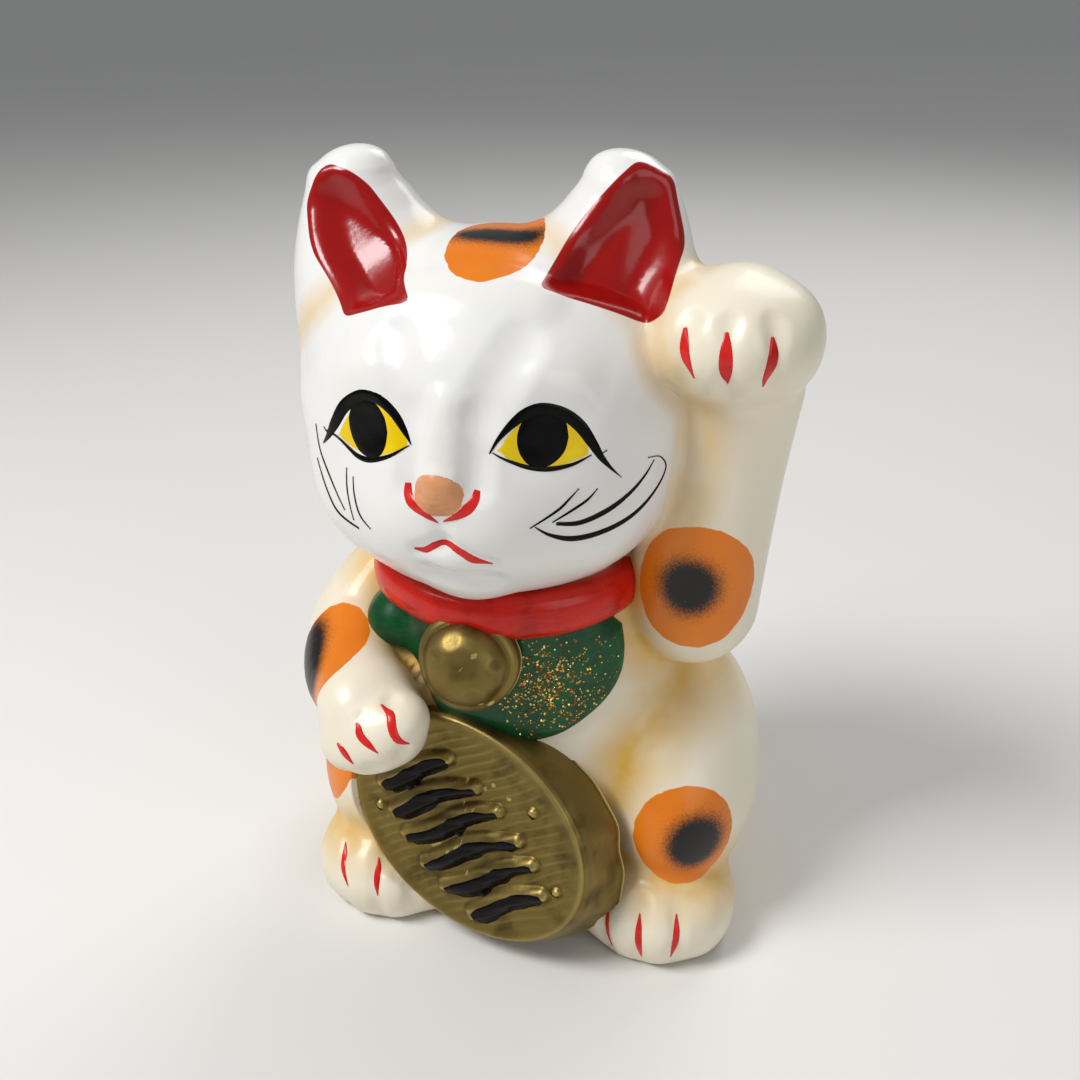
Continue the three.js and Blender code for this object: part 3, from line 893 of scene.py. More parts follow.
@dataclass(frozen=True)
class Brush:
    """Lays thin raised paint on a surface that is given as a field."""

    ground: Field
    depth: float = 0.32
    bold: float = 1.15

    def drop(self, spots: np.ndarray) -> np.ndarray:
        """Lets front-view spots of x and z fall on the surface, from the cat's front."""
        points = np.column_stack([spots[:, 0], np.full(len(spots), -80.0), spots[:, 1]])
        for _ in range(60):
            points[:, 1] += 0.8 * np.minimum(self.ground(points), 10)
        return points

    def lay(self, points: np.ndarray, lift: np.ndarray) -> np.ndarray:
        """Settles points on the surface and lifts each one off it by its own height."""
        points = settle(self.ground, points, 4)
        _, slope = outward(self.ground, points)
        return points + lift[:, None] * slope / np.linalg.norm(slope, axis=1)[:, None]

    def stroke(self, work: bmesh.types.BMesh, rows: Sequence[Row], lift: float, across: int = 6,
               steps: int = 7) -> None:
        """Adds one brush stroke to a bmesh.

        Args:
            work: The bmesh that holds the strokes.
            rows: Places along the stroke, each with its half width last: x, z or x, y, z before it.
            lift: How high the stroke's middle stands.
            across: How many faces it is wide.
            steps: How many faces each stretch between two rows is long.
        """
        fine = smooth_rows(rows, steps)
        path = self.drop(fine[:, :2]) if fine.shape[1] == 3 else settle(self.ground, fine[:, :3], 4)
        _, normal = outward(self.ground, path)
        side = np.cross(np.gradient(path, axis=0), normal)
        side /= np.linalg.norm(side, axis=1)[:, None]
        count = len(fine)
        made = bmesh.ops.create_grid(work, x_segments=count - 1, y_segments=across, size=1.0)["verts"]
        flat = np.array([vert.co for vert in made])
        along = np.rint((flat[:, 0] + 1) / 2 * (count - 1)).astype(int)
        spread = flat[:, 1]
        points = path[along] + (spread * fine[along, -1] * self.bold)[:, None] * side[along]
        heights = lift * (1 - spread ** 4) - 0.04 * spread ** 4
        for vert, co in zip(made, self.lay(points, heights)):
            vert.co = co

    def blot(self, work: bmesh.types.BMesh, outline: Sequence[Row], lift: float, rings: int = 8,
             around: int = 72, base: float = -0.04) -> None:
        """Adds a filled shape to a bmesh: a disc drawn out to a closed outline of x and z.

        Args:
            work: The bmesh that holds the shapes.
            outline: Places round the shape's edge, seen from the front.
            lift: How high the shape stands.
            rings: How many faces it is from middle to edge.
            around: How many faces it is round.
            base: How high its edge starts.
        """
        loop = smooth_rows([*outline, outline[0]], max(4, around // len(outline)))[:-1]
        made = add_disc(work, rings, around)
        spots, share = draw_out(made, loop)
        points = self.drop(spots)
        heights = base + (lift - base) * np.sqrt(np.maximum(1 - share ** 5, 0))
        for vert, co in zip(made, self.lay(points, heights)):
            vert.co = co

    def finish(self, work: bmesh.types.BMesh, name: str) -> bpy.types.Object:
        """Turns the laid paint into a closed piece whose underside is buried."""
        bmesh.ops.recalc_face_normals(work, faces=work.faces)
        _, outwards = outward(self.ground, np.array([face.calc_center_median() for face in work.faces]))
        turned = [face for face, away in zip(work.faces, outwards) if face.normal.dot(Vector(away)) < 0]
        bmesh.ops.reverse_faces(work, faces=turned)
        piece = new_object(name, mesh_from(work, name))
        smooth_shade(thicken(piece, self.depth), 60)
        return piece


def ellipse(x: float, z: float, half_width: float, half_height: float, count: int = 12) -> list[Row]:
    """Returns places round an upright ellipse, seen from the front."""
    return [(x + half_width * math.cos(math.tau * i / count),
             z + half_height * math.sin(math.tau * i / count))
            for i in range(count)]


@dataclass
class Face:
    """The painted eyes, nose, mouth and whiskers, drawn in the front view as x, z and half width."""

    form: CatForm
    irises: Sequence[Sequence[Row]] = (
        ((5.8, 151.3), (8.8, 155.4), (12, 158.3), (15.5, 159.2), (19.8, 157.8), (23, 154.6), (25.4, 149.5),
         (22, 147.6), (17.2, 146.8), (11, 148.2)),
        ((-32.9, 149.6), (-30.6, 153.6), (-27.6, 157.4), (-23.6, 159.6), (-19, 158.9), (-15.8, 155.8),
         (-13.2, 151.4), (-17.5, 148.8), (-23.2, 146.8), (-28.8, 147.6)))
    pupils: Sequence[Row] = ((15.6, 153.4, 5.4, 6.2), (-23.7, 153.2, 5.5, 6.5))
    lids: Sequence[Sequence[Row]] = (
        ((4.9, 150.9, .15), (6.8, 154.1, .45), (9.6, 157.2, .9), (12.4, 159.2, 1.25), (15.6, 159.9, 1.35),
         (19.6, 158.5, 1.4), (23, 155.5, 1.35), (25.6, 151.4, 1.05), (27.4, 147.9, .7), (29.2, 145, .35),
         (31.2, 142.2, .06)),
        ((-38, 145.9, .1), (-35.6, 148.9, .8), (-33.4, 152.2, 1.3), (-30.6, 156.4, 1.45), (-27.3, 159.2, 1.3),
         (-24.3, 160.5, 1.2), (-20.4, 160.1, 1.2), (-16.9, 157.7, 1), (-14.4, 154.3, .7),
         (-12.7, 151.5, .12)),
        ((5.6, 151.1, .12), (9.7, 148.9, .35), (13.2, 147.4, .5), (17.2, 146.7, .55), (21.6, 147.2, .4),
         (25.4, 148.9, .12)),
        ((-36.3, 149.8, .12), (-32.9, 149.3, .3), (-29.2, 147.3, .5), (-26.6, 146.2, .6), (-23.2, 146.3, .6),
         (-18.5, 148.1, .45), (-13.2, 151.3, .1)),
        ((26.6, 148.4, .2), (28.4, 149.4, .07)), ((-37.1, 150.3, .08), (-35.4, 148.9, .2)))
    whiskers: Sequence[Sequence[Row]] = (
        ((13.4, 133.9, .15), (18.9, 137.2, .32), (21.3, 139.6, .25), (23, 141.5, .06)),
        ((17.8, 134.5, .12), (21.3, 136.4, .3), (24.7, 138.5, .3), (26.7, 140.8, .06)),
        ((18.6, 134, .4), (23.3, 133.3, .6), (28.7, 135, .65), (33, 137.7, .5), (35.7, 140.6, .3),
         (37.3, 143.5, .1)),
        ((14.4, 134, .12), (17.3, 131.4, .4), (21.7, 129.5, .7), (27.2, 129.7, .7), (33.5, 131.8, .6),
         (37.6, 135.4, .4), (39.4, 139.7, .25), (38.4, 143.5, .15), (36.2, 144.7, .06)),
        ((-40.3, 149.7, .08), (-39.8, 144, .2), (-37.4, 139.4, .3), (-32.2, 131.5, .12)),
        ((-41.4, 140.7, .12), (-38.3, 134, .3), (-34.9, 129.6, .4), (-28.3, 128.1, .3)),
        ((-30.3, 142.7, .08), (-30.6, 137.2, .22), (-29.5, 129.9, .08)),
        ((-28.3, 141.3, .08), (-28.3, 136.9, .22), (-27.1, 132.2, .25), (-24.2, 129.6, .08)))
    nostrils: Sequence[Sequence[Row]] = (
        ((-13.4, 143.2, .7), (-13.2, 141.2, 1), (-11.8, 139.2, 1.05), (-8.9, 137.4, .8), (-6.2, 135.3, .1)),
        ((2.4, 142.9, .65), (1.8, 140.6, 1.05), (-.3, 138.4, 1), (-4.9, 135.8, .15)))
    mouth: Sequence[Row] = ((-12.6, 127.8, .3), (-10.1, 127.7, .7), (-7.7, 129.2, .75), (-5.7, 130, .65),
                            (-3.7, 129.6, .8), (-1.2, 128, .9), (1.4, 126, .85), (4.9, 124.7, .1))

    def build(self, yellow: bpy.types.Material, ink: bpy.types.Material, red: bpy.types.Material,
              peach: bpy.types.Material) -> None:
        """Paints the face.

        Args:
            yellow: The eyes' enamel.
            ink: The black enamel.
            red: The red enamel of the nose's sides and the mouth.
            peach: The nose's enamel.
        """
        brush = Brush(self.form.distance)
        work = bmesh.new()
        for outline in self.irises:
            brush.blot(work, outline, 0.1)
        hand_over(brush.finish(work, "eye_yellow"), yellow)
        work = bmesh.new()
        for x, z, half_width, half_height in self.pupils:
            brush.blot(work, ellipse(x, z, half_width, half_height), 0.22, base=0.05)
        for rows in (*self.lids, *self.whiskers):
            brush.stroke(work, rows, 0.2)
        hand_over(brush.finish(work, "face_ink"), ink)
        work = bmesh.new()
        for rows in (*self.nostrils, self.mouth):
            brush.stroke(work, rows, 0.22)
        hand_over(brush.finish(work, "nose_and_mouth_red"), red)
        work = bmesh.new()
        brush.blot(work, ellipse(-6, 142, 5.9, 5.2), 0.16)
        hand_over(brush.finish(work, "nose_tip"), peach)


@dataclass
class Claws:
    """The red claw strokes between the toes, as x, y, z and half width."""

    form: CatForm
    strokes: Sequence[Sequence[Row]] = (
        ((43.6, -39.7, 174.8, .4), (44, -41.5, 171.5, 1.2), (44.4, -43, 168, 1.25), (44.7, -44, 163.5, .1)),
        ((52, -42.2, 174.8, .4), (52.4, -44, 171.2, 1.3), (52.7, -45, 167.5, 1.25), (53, -45.2, 162.6, .1)),
        ((60.6, -40.8, 174, .4), (61, -42, 170.8, 1.3), (61.3, -43, 167, 1.25), (61.6, -43, 161.8, .1)),
        ((-25.4, -59.5, 81.4, .3), (-23, -61, 79.4, .9), (-20.4, -62.4, 77, 1), (-17.2, -63.2, 74.4, .1)),
        ((-30.8, -63, 77.4, .3), (-28.6, -64.5, 76.2, .9), (-26.3, -65.8, 74.8, .85), (-24, -66.5, 73.2, .1)),
        ((-34.6, -65, 73, .3), (-33.2, -65.8, 72, .9), (-31.8, -66.5, 70.8, .85), (-30.3, -67, 69.4, .1)),
        ((30.4, -48.6, 17.2, .15), (30.9, -50, 13.6, .85), (31.5, -51, 9.5, .85), (32, -51.2, 5.4, .1)),
        ((39.2, -50.5, 18, .15), (39.5, -51.6, 13.8, .85), (39.9, -52.3, 9.2, .85), (40.2, -52.5, 4.6, .1)),
        ((48.8, -49, 18.4, .15), (48.7, -50.4, 14.4, .85), (48.4, -51.6, 10.2, .85), (48.1, -52, 5.6, .1)),
        ((-46.7, -44.6, 20.6, .15), (-45.8, -47.5, 18, .8), (-44.6, -50, 15.8, .8), (-43, -52.6, 12.8, .1)),
        ((-35.3, -48, 20.4, .15), (-35, -50, 17.8, .8), (-34.7, -52, 15, .8), (-34.2, -53.8, 11.8, .1)))

    def build(self, red: bpy.types.Material) -> None:
        """Paints the claws in red enamel."""
        brush = Brush(self.form.distance)
        work = bmesh.new()
        for rows in self.strokes:
            brush.stroke(work, rows, 0.25)
        hand_over(brush.finish(work, "claw_strokes"), red)


# ---- ornaments ------------------------------------------------------------------------------------

def spin_profile(profile: Sequence[Row], steps: int) -> bmesh.types.BMesh:
    """Turns a profile of radius and height round the Z axis into a closed bmesh."""
    work = bmesh.new()
    verts = [work.verts.new((radius, 0, height)) for radius, height in profile]
    edges = [work.edges.new(pair) for pair in zip(verts[:-1], verts[1:])]
    bmesh.ops.spin(work, geom=[*verts, *edges], cent=(0, 0, 0), axis=(0, 0, 1), angle=math.tau, steps=steps,
                   use_merge=True)
    bmesh.ops.remove_doubles(work, verts=work.verts, dist=1e-4)
    bmesh.ops.recalc_face_normals(work, faces=work.faces)
    return work


def move_points(work: bmesh.types.BMesh, moved: Callable[[np.ndarray], np.ndarray]) -> None:
    """Moves all of a bmesh's vertices by a function of their positions."""
    places = np.array([vert.co for vert in work.verts])
    for vert, co in zip(work.verts, moved(places)):
        vert.co = co


def standing(at: Point, turn: Point) -> Matrix:
    """Returns the matrix that turns a piece by XYZ Euler degrees and moves it to its place."""
    return Matrix.Translation(at) @ Matrix(Egg(at, (1, 1, 1), turn).basis.tolist()).to_4x4()


@dataclass
class Collar:
    """The moulded red collar, a soft roll laid round the neck by hand."""

    at: Point = COLLAR_AT
    radius: float = COLLAR_RADIUS
    roll: float = 4.9
    tall: float = 6.0

    def build(self, red: bpy.types.Material) -> None:
        """Models the roll and paints it."""
        work = bmesh.new()
        around = 28
        ring = bmesh.ops.create_circle(work, segments=around, radius=1.0)["verts"]
        for vert in ring:
            bulge = math.copysign(abs(vert.co.x) ** 0.62, vert.co.x)
            vert.co = (self.radius + self.roll * bulge, 0, self.tall * vert.co.y)
        edges = list({edge for vert in ring for edge in vert.link_edges})
        bmesh.ops.spin(work, geom=[*ring, *edges], cent=(0, 0, 0), axis=(0, 0, 1), angle=math.tau, steps=180,
                       use_merge=True)
        bmesh.ops.remove_doubles(work, verts=work.verts, dist=1e-4)
        bmesh.ops.recalc_face_normals(work, faces=work.faces)
        move_points(work, self.by_hand)
        piece = new_object("collar_roll", mesh_from(work, "collar_roll"))
        smooth_shade(piece.data)
        hand_over(piece, red, ["collar"])

    def by_hand(self, places: np.ndarray) -> np.ndarray:
        """Gives the roll the unevenness of a hand-made band."""
        turn = np.arctan2(places[:, 1], places[:, 0])
        swell = 0.35 * np.sin(3 * turn + 1) + 0.25 * np.sin(7 * turn) + 0.12 * np.sin(13 * turn + 2)
        out = places[:, :2] / np.hypot(places[:, 0], places[:, 1])[:, None]
        height = places[:, 2] * (1 + 0.05 * np.sin(4 * turn)) + 0.5 * np.sin(2 * turn + 0.6)
        return np.column_stack([places[:, :2] + out * swell[:, None], height]) + self.at


@dataclass
class Bib:
    """The green bib on the chest, with glitter scattered on its left half."""

    form: CatForm
    axis: tuple[float, float] = (-4.0, -6.0)
    thick: float = 1.9
    outline: Sequence[Row] = ((60, 92), (59, 86), (56, 80), (50, 74.5), (41, 69.5), (30, 65), (16, 62.6),
                              (0, 62), (-12, 63), (-20, 66), (-27, 72), (-32, 79), (-40, 83.5), (-50, 86),
                              (-58, 89.5), (-62, 94), (-50, 100), (-25, 101), (0, 101), (25, 101), (48, 99))
    flecks: int = 700

    def chest(self, points: np.ndarray) -> np.ndarray:
        """Returns the distance to the body, swollen where the bib laps over the resting arm's shoulder."""
        return melt(CASTINGS[0].distance(points), Egg((-31.5, -26, 87), (8, 9, 7)).distance(points), 6.0)

    def around(self, spots: np.ndarray) -> np.ndarray:
        """Wraps rows of degrees and height round the chest."""
        angle = np.radians(spots[:, 0])
        inwards = np.column_stack([-np.sin(angle), np.cos(angle), 0 * angle])
        points = np.column_stack([np.tile(self.axis, (len(spots), 1)), spots[:, 1]]) - 60 * inwards
        for _ in range(60):
            points += 0.8 * np.minimum(self.chest(points), 10)[:, None] * inwards
        return points

    def edge_share(self, spots: np.ndarray) -> np.ndarray:
        """Returns how far out each spot is, from 0 in the middle to 1 at the bib's edge."""
        loop = smooth_rows([*self.outline, self.outline[0]], 8)[:-1]
        middle = loop.mean(0)
        scale = np.array([0.66, 1.0])
        turn = np.arctan2(*((loop - middle) * scale).T[::-1])
        order = np.argsort(turn)
        reach = np.linalg.norm((loop - middle) * scale, axis=1)
        angle = np.arctan2(*((spots - middle) * scale).T[::-1])
        limit = np.interp(angle, turn[order], reach[order], period=math.tau)
        return np.linalg.norm((spots - middle) * scale, axis=1) / limit

    def build(self, green: bpy.types.Material, glitter: bpy.types.Material) -> None:
        """Models the bib and scatters its glitter.

        Args:
            green: The bib's enamel.
            glitter: The flecks' metal.
        """
        rings, steps = 34, 260
        work = bmesh.new()
        made = add_disc(work, rings, steps)
        spots, share = draw_out(made, smooth_rows([*self.outline, self.outline[0]], 8)[:-1])
        brush = Brush(self.chest, 3.0)
        heights = self.thick * np.sqrt(np.maximum(1 - share ** 22, 0)) - 0.3
        for vert, co in zip(made, brush.lay(self.around(spots), heights)):
            vert.co = co
        hand_over(brush.finish(work, "bib_enamel"), green, ["bib"])
        self.scatter(brush, glitter)

    def scatter(self, brush: Brush, glitter: bpy.types.Material) -> None:
        """Presses tiny flat flecks into the bib's enamel, densest beside the bell."""
        rng = np.random.default_rng(7)
        spots = np.column_stack([rng.normal(27, 13, self.flecks * 3), rng.normal(79, 6.5, self.flecks * 3)])
        inside = (self.edge_share(spots) < 0.93) & (spots[:, 0] > 6) & (spots[:, 1] < 93)
        spots = spots[inside][:self.flecks]
        places = brush.lay(self.around(spots), np.full(len(spots), self.thick - 0.3 + 0.03))
        _, slopes = outward(self.chest, places)
        work = bmesh.new()
        for place, slope, size, tilt in zip(places, slopes, rng.uniform(0.16, 0.36, len(spots)),
                                            rng.normal(0, 0.35, (len(spots), 2))):
            lean = Vector(slope) + Vector((tilt[0], 0, tilt[1]))
            stand = Matrix.Translation(place) @ lean.to_track_quat("Z", "Y").to_matrix().to_4x4()
            bmesh.ops.create_cone(work, cap_ends=True, segments=6, radius1=size, radius2=size * 0.9,
                                  depth=0.12,
                                  matrix=stand)
        piece = new_object("bib_glitter", mesh_from(work, "bib_glitter"))
        hand_over(piece, glitter)


@dataclass
class Bell:
    """The dull gold bell: a flange, a step and a dented dome."""

    at: Point = (-6.5, -47.0, 89.0)
    turn: Point = (76.0, 0.0, -6.0)
    profile: Sequence[Row] = ((0, -3), (12, -3), (12.8, -2.2), (13, -1), (12.9, .4), (12.3, 1.3), (11.5, 1.8),
                              (10.9, 1.9), (10.6, 2.4), (10.4, 3.0), (10.1, 3.8), (9.4, 5.0), (8.2, 6.3),
                              (6.4, 7.4),
                              (4.3, 8.1), (2.1, 8.5), (0, 8.6))
    dents: Sequence[Row] = ((-6.5, 2.5, 2.2, .5), (4.5, -6.5, 3.0, .45), (-3.0, 7.0, 2.6, .4),
                            (8.5, 3.0, 2.0, .4),
                            (-8.5, -7.0, 2.2, .5), (1.0, 2.0, 5.0, .35))

    def build(self, gold: bpy.types.Material) -> None:
        """Models the bell and dresses it."""
        work = spin_profile(smooth_rows(self.profile, 4), 120)
        move_points(work, self.dented)
        bmesh.ops.transform(work, matrix=standing(self.at, self.turn), verts=work.verts)
        piece = new_object("bell_gilt", mesh_from(work, "bell_gilt"))
        smooth_shade(piece.data, 50)
        hand_over(piece, gold, ["bell"])

    def dented(self, places: np.ndarray) -> np.ndarray:
        """Presses the dents into the dome and makes the rim a little uneven."""
        places = places.copy()
        for x, y, reach, depth in self.dents:
            near = np.hypot(places[:, 0] - x, places[:, 1] - y) / reach
            places[:, 2] -= np.where(places[:, 2] > 0, depth * np.maximum(1 - near ** 2, 0) ** 2, 0)
        turn = np.arctan2(places[:, 1], places[:, 0])
        wobble = 1 + 0.012 * np.sin(3 * turn + 1) + 0.008 * np.sin(5 * turn)
        places[:, :2] *= wobble[:, None]
        return places


@dataclass
class Koban:
    """The oval gold coin: a dished, hammered face with a raised rim and raised wave bars."""

    at: Point = COIN_AT
    turn: Point = COIN_TURN
    rx: float = 37.4
    ry: float = 30.5
    deep: float = 15.0
    tilt: float = 55.0
    ridge_pitch: float = 2.6
    ridge_height: float = 0.11
    bar_width: float = 3.5
    bar_height: float = 2.2
    bars: Sequence[Row] = ((-20, 5, 24, 0.4), (-12, 1.9, 29, 1.2), (-4, -1.2, 32, 0.2), (4, -4.3, 32, 1.0),
                           (12, -7.4, 30, 0.0), (20, -10.5, 24, 0.8))
    studs: Sequence[Row] = ((13.5, 18.5, 1.6), (29.5, 3, 1.5), (-24, -13, 1.5))

    def bar_rows(self, bar: Row) -> np.ndarray:
        """Returns a wave bar's centre line in the coin's own x and y, with its half width."""
        x, y, length, phase = bar
        along = np.linspace(-length / 2, length / 2, 13)
        wave = 1.1 * np.sin(along / 16 * math.pi + phase)
        width = self.bar_width * (0.66 + 0.34 * np.cos(along / length * 2.6 + 0.3))
        tilt = math.radians(self.tilt)
        return np.column_stack([x + along * math.cos(tilt) - wave * math.sin(tilt),
                                y + along * math.sin(tilt) + wave * math.cos(tilt), width])

    def height(self, x: np.ndarray, y: np.ndarray) -> np.ndarray:
        """Returns the face's height at places in the coin's own x and y."""
        share = np.hypot(x / self.rx, y / self.ry)
        inset = (1 - share) * (self.rx + self.ry) / 2
        floor = -0.8 + 0.7 * np.exp(-((inset - 1.8) / 2.2) ** 2)
        tilt = math.radians(self.tilt)
        across = y * math.cos(tilt) - x * math.sin(tilt)
        along = x * math.cos(tilt) + y * math.sin(tilt)
        wander = 0.5 * np.sin(along / 7) + 0.35 * np.sin(along / 3.1 + across / 9)
        ridges = np.sin((across + wander) * math.tau / self.ridge_pitch)
        floor += self.ridge_height * ridges * np.clip((inset - 2) / 3, 0, 1)
        relief = np.zeros_like(x)
        for bar in self.bars:
            rows = self.bar_rows(bar)
            near = np.full(x.shape, 1e3)
            for start, end in zip(rows[:-1], rows[1:]):
                step = end[:2] - start[:2]
                t = np.clip(((x - start[0]) * step[0] + (y - start[1]) * step[1]) / (step @ step), 0, 1)
                off = np.hypot(x - start[0] - t * step[0], y - start[1] - t * step[1])
                near = np.minimum(near, off / (start[2] + t * (end[2] - start[2])))
            relief = np.maximum(relief, self.bar_height * np.maximum(1 - near ** 2, 0) ** 0.9)
        for sx, sy, radius in self.studs:
            near = np.hypot(x - sx, y - sy) / radius
            relief = np.maximum(relief, 1.3 * np.maximum(1 - near ** 2, 0) ** 0.75)
        edge = np.clip(inset / 1.6, 0, 1)
        return floor + relief * 0.95 - 1.2 * (1 - edge) ** 2

    def face(self, points: np.ndarray) -> np.ndarray:
        """Returns how far points in the modelling frame stand off the coin's face."""
        local = (points - self.at) @ Egg(self.at, (1, 1, 1), self.turn).basis
        return local[:, 2] - self.height(local[:, 0], local[:, 1])

    def build(self, gold: bpy.types.Material, ink: bpy.types.Material) -> None:
        """Models the coin, hammers its face and inks the bars' lower sides.

        Args:
            gold: The antique gold paint.
            ink: The black paint.
        """
        outside = ((1.2, 0.6 - self.deep), (1.4, 2.4 - self.deep), (1.2, -9.5), (0.8, -6.2), (0.5, -3.6),
                   (0.0, -2.2), (-0.25, -1.5), (-0.6, -1.0))
        wall = [(0.0, -self.deep), (0.5, -self.deep), (1.0, -self.deep),
                *((1 + out / self.rx, height) for out, height in outside)]
        face = [(share, 0.0) for share in np.linspace(0.978, 0.0, 84)]
        work = spin_profile([*smooth_rows(wall, 3), *face], 420)
        move_points(work, self.hammered)
        bmesh.ops.transform(work, matrix=standing(self.at, self.turn), verts=work.verts)
        piece = new_object("koban_gilt", mesh_from(work, "koban_gilt"))
        smooth_shade(piece.data, 60)
        hand_over(piece, gold, ["koban_coin"])
        self.ink_bars(ink)

    def hammered(self, places: np.ndarray) -> np.ndarray:
        """Stretches the turned blank to its oval, wavers and leans its wall and gives the face its height."""
        turn = np.arctan2(places[:, 1], places[:, 0])
        share = np.hypot(places[:, 0], places[:, 1])
        on_face = (places[:, 2] > -0.9) & (share < 0.985)
        notch = 0.012 * np.sin(9 * turn) + 0.008 * np.sin(17 * turn + 1) + 0.01 * np.sin(5 * turn + 2)
        stretch = 1 + np.clip(-places[:, 2] / 10, 0, 1) * notch
        x, y = places[:, 0] * self.rx * stretch, places[:, 1] * self.ry * stretch
        back = np.where(on_face, 0, np.maximum(-places[:, 2] - 1, 0))
        height = np.where(on_face, self.height(x, y), places[:, 2])
        return np.column_stack([x + 0.3 * back, y - 0.1 * back, height])

    def ink_bars(self, ink: bpy.types.Material) -> None:
        """Lays black paint along the lower side of each bar."""
        brush = Brush(self.face, 0.35)
        tilt = math.radians(self.tilt)
        basis = Egg(self.at, (1, 1, 1), self.turn).basis
        work = bmesh.new()
        for bar in self.bars:
            rows = self.bar_rows(bar)
            shift = rows[:, 2] * 0.42
            local = np.column_stack([rows[:, 0] + shift * math.sin(tilt), rows[:, 1] - shift * math.cos(tilt),
                                     self.height(rows[:, 0], rows[:, 1])])
            placed = local @ basis.T + self.at
            widths = rows[:, 2] * np.where(np.abs(np.arange(13) - 6) > 5, 0.45, 0.8)
            brush.stroke(work, np.column_stack([placed, widths]), 0.16, across=10, steps=6)
        for x, y, radius in self.studs:
            local = np.array([(x - radius * 0.5, y - radius * 0.9, 0, radius * 0.3),
                              (x, y - radius * 0.85, 0, radius * 0.7),
                              (x + radius * 0.7, y - radius * 0.5, 0, radius * 0.3)])
            local[:, 2] = self.height(local[:, 0], local[:, 1])
            brush.stroke(work, np.column_stack([local[:, :3] @ basis.T + self.at, local[:, 3]]), 0.16)
        hand_over(brush.finish(work, "koban_ink"), ink)


@dataclass
class Bung:
    """The rubber bung in the base, whose CAD shape is already right."""

    node: str = "base_bung"

    def build(self, rubber: bpy.types.Material) -> None:
        """Gives the bung its rubber."""
        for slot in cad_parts[self.node].material_slots:
            slot.material = rubber


# ---- materials ------------------------------------------------------------------------------------

RGBA = {"data_type": "RGBA"}
SMOOTH = {"interpolation_type": "SMOOTHSTEP"}
TIMES = {"operation": "MULTIPLY"}
SCALE_ADD = {"operation": "MULTIPLY_ADD"}


def linear(code: str) -> tuple[float, float, float, float]:
    """Turns an sRGB hex colour into linear RGBA."""
    parts = [int(code[i:i + 2], 16) / 255 for i in (1, 3, 5)]
    return (*((c / 12.92 if c <= 0.04045 else ((c + 0.055) / 1.055) ** 2.4) for c in parts), 1.0)


def add_node(tree: bpy.types.NodeTree, kind: str, settings: dict, inputs: dict,
             output: int | str = 0) -> bpy.types.NodeSocket:
    """Adds a node with its settings and links.

    Args:
        tree: The material's tree.
        kind: The node's type, without its prefix.
        settings: Properties to set on it.
        inputs: Values or sockets by input name or number.
        output: Which output is wanted.

    Returns:
        The wanted output.
    """
    node = tree.nodes.new(f"ShaderNode{kind}")
    for key, value in settings.items():
        setattr(node, key, value)
    for key, value in inputs.items():
        if isinstance(value, bpy.types.NodeSocket):
            tree.links.new(value, node.inputs[key])
        else:
            node.inputs[key].default_value = value
    return node.outputs[output]


def fresh_material(name: str) -> tuple[bpy.types.Material, bpy.types.NodeTree, bpy.types.Node,
                                       bpy.types.NodeSocket]:
    """Returns a new material, its tree, its shader and its Object coordinates."""
    material = bpy.data.materials.new(name)
    material.use_nodes = True
    tree = material.node_tree
    shader = tree.nodes["Principled BSDF"]
    return material, tree, shader, add_node(tree, "TexCoord", {}, {}, "Object")


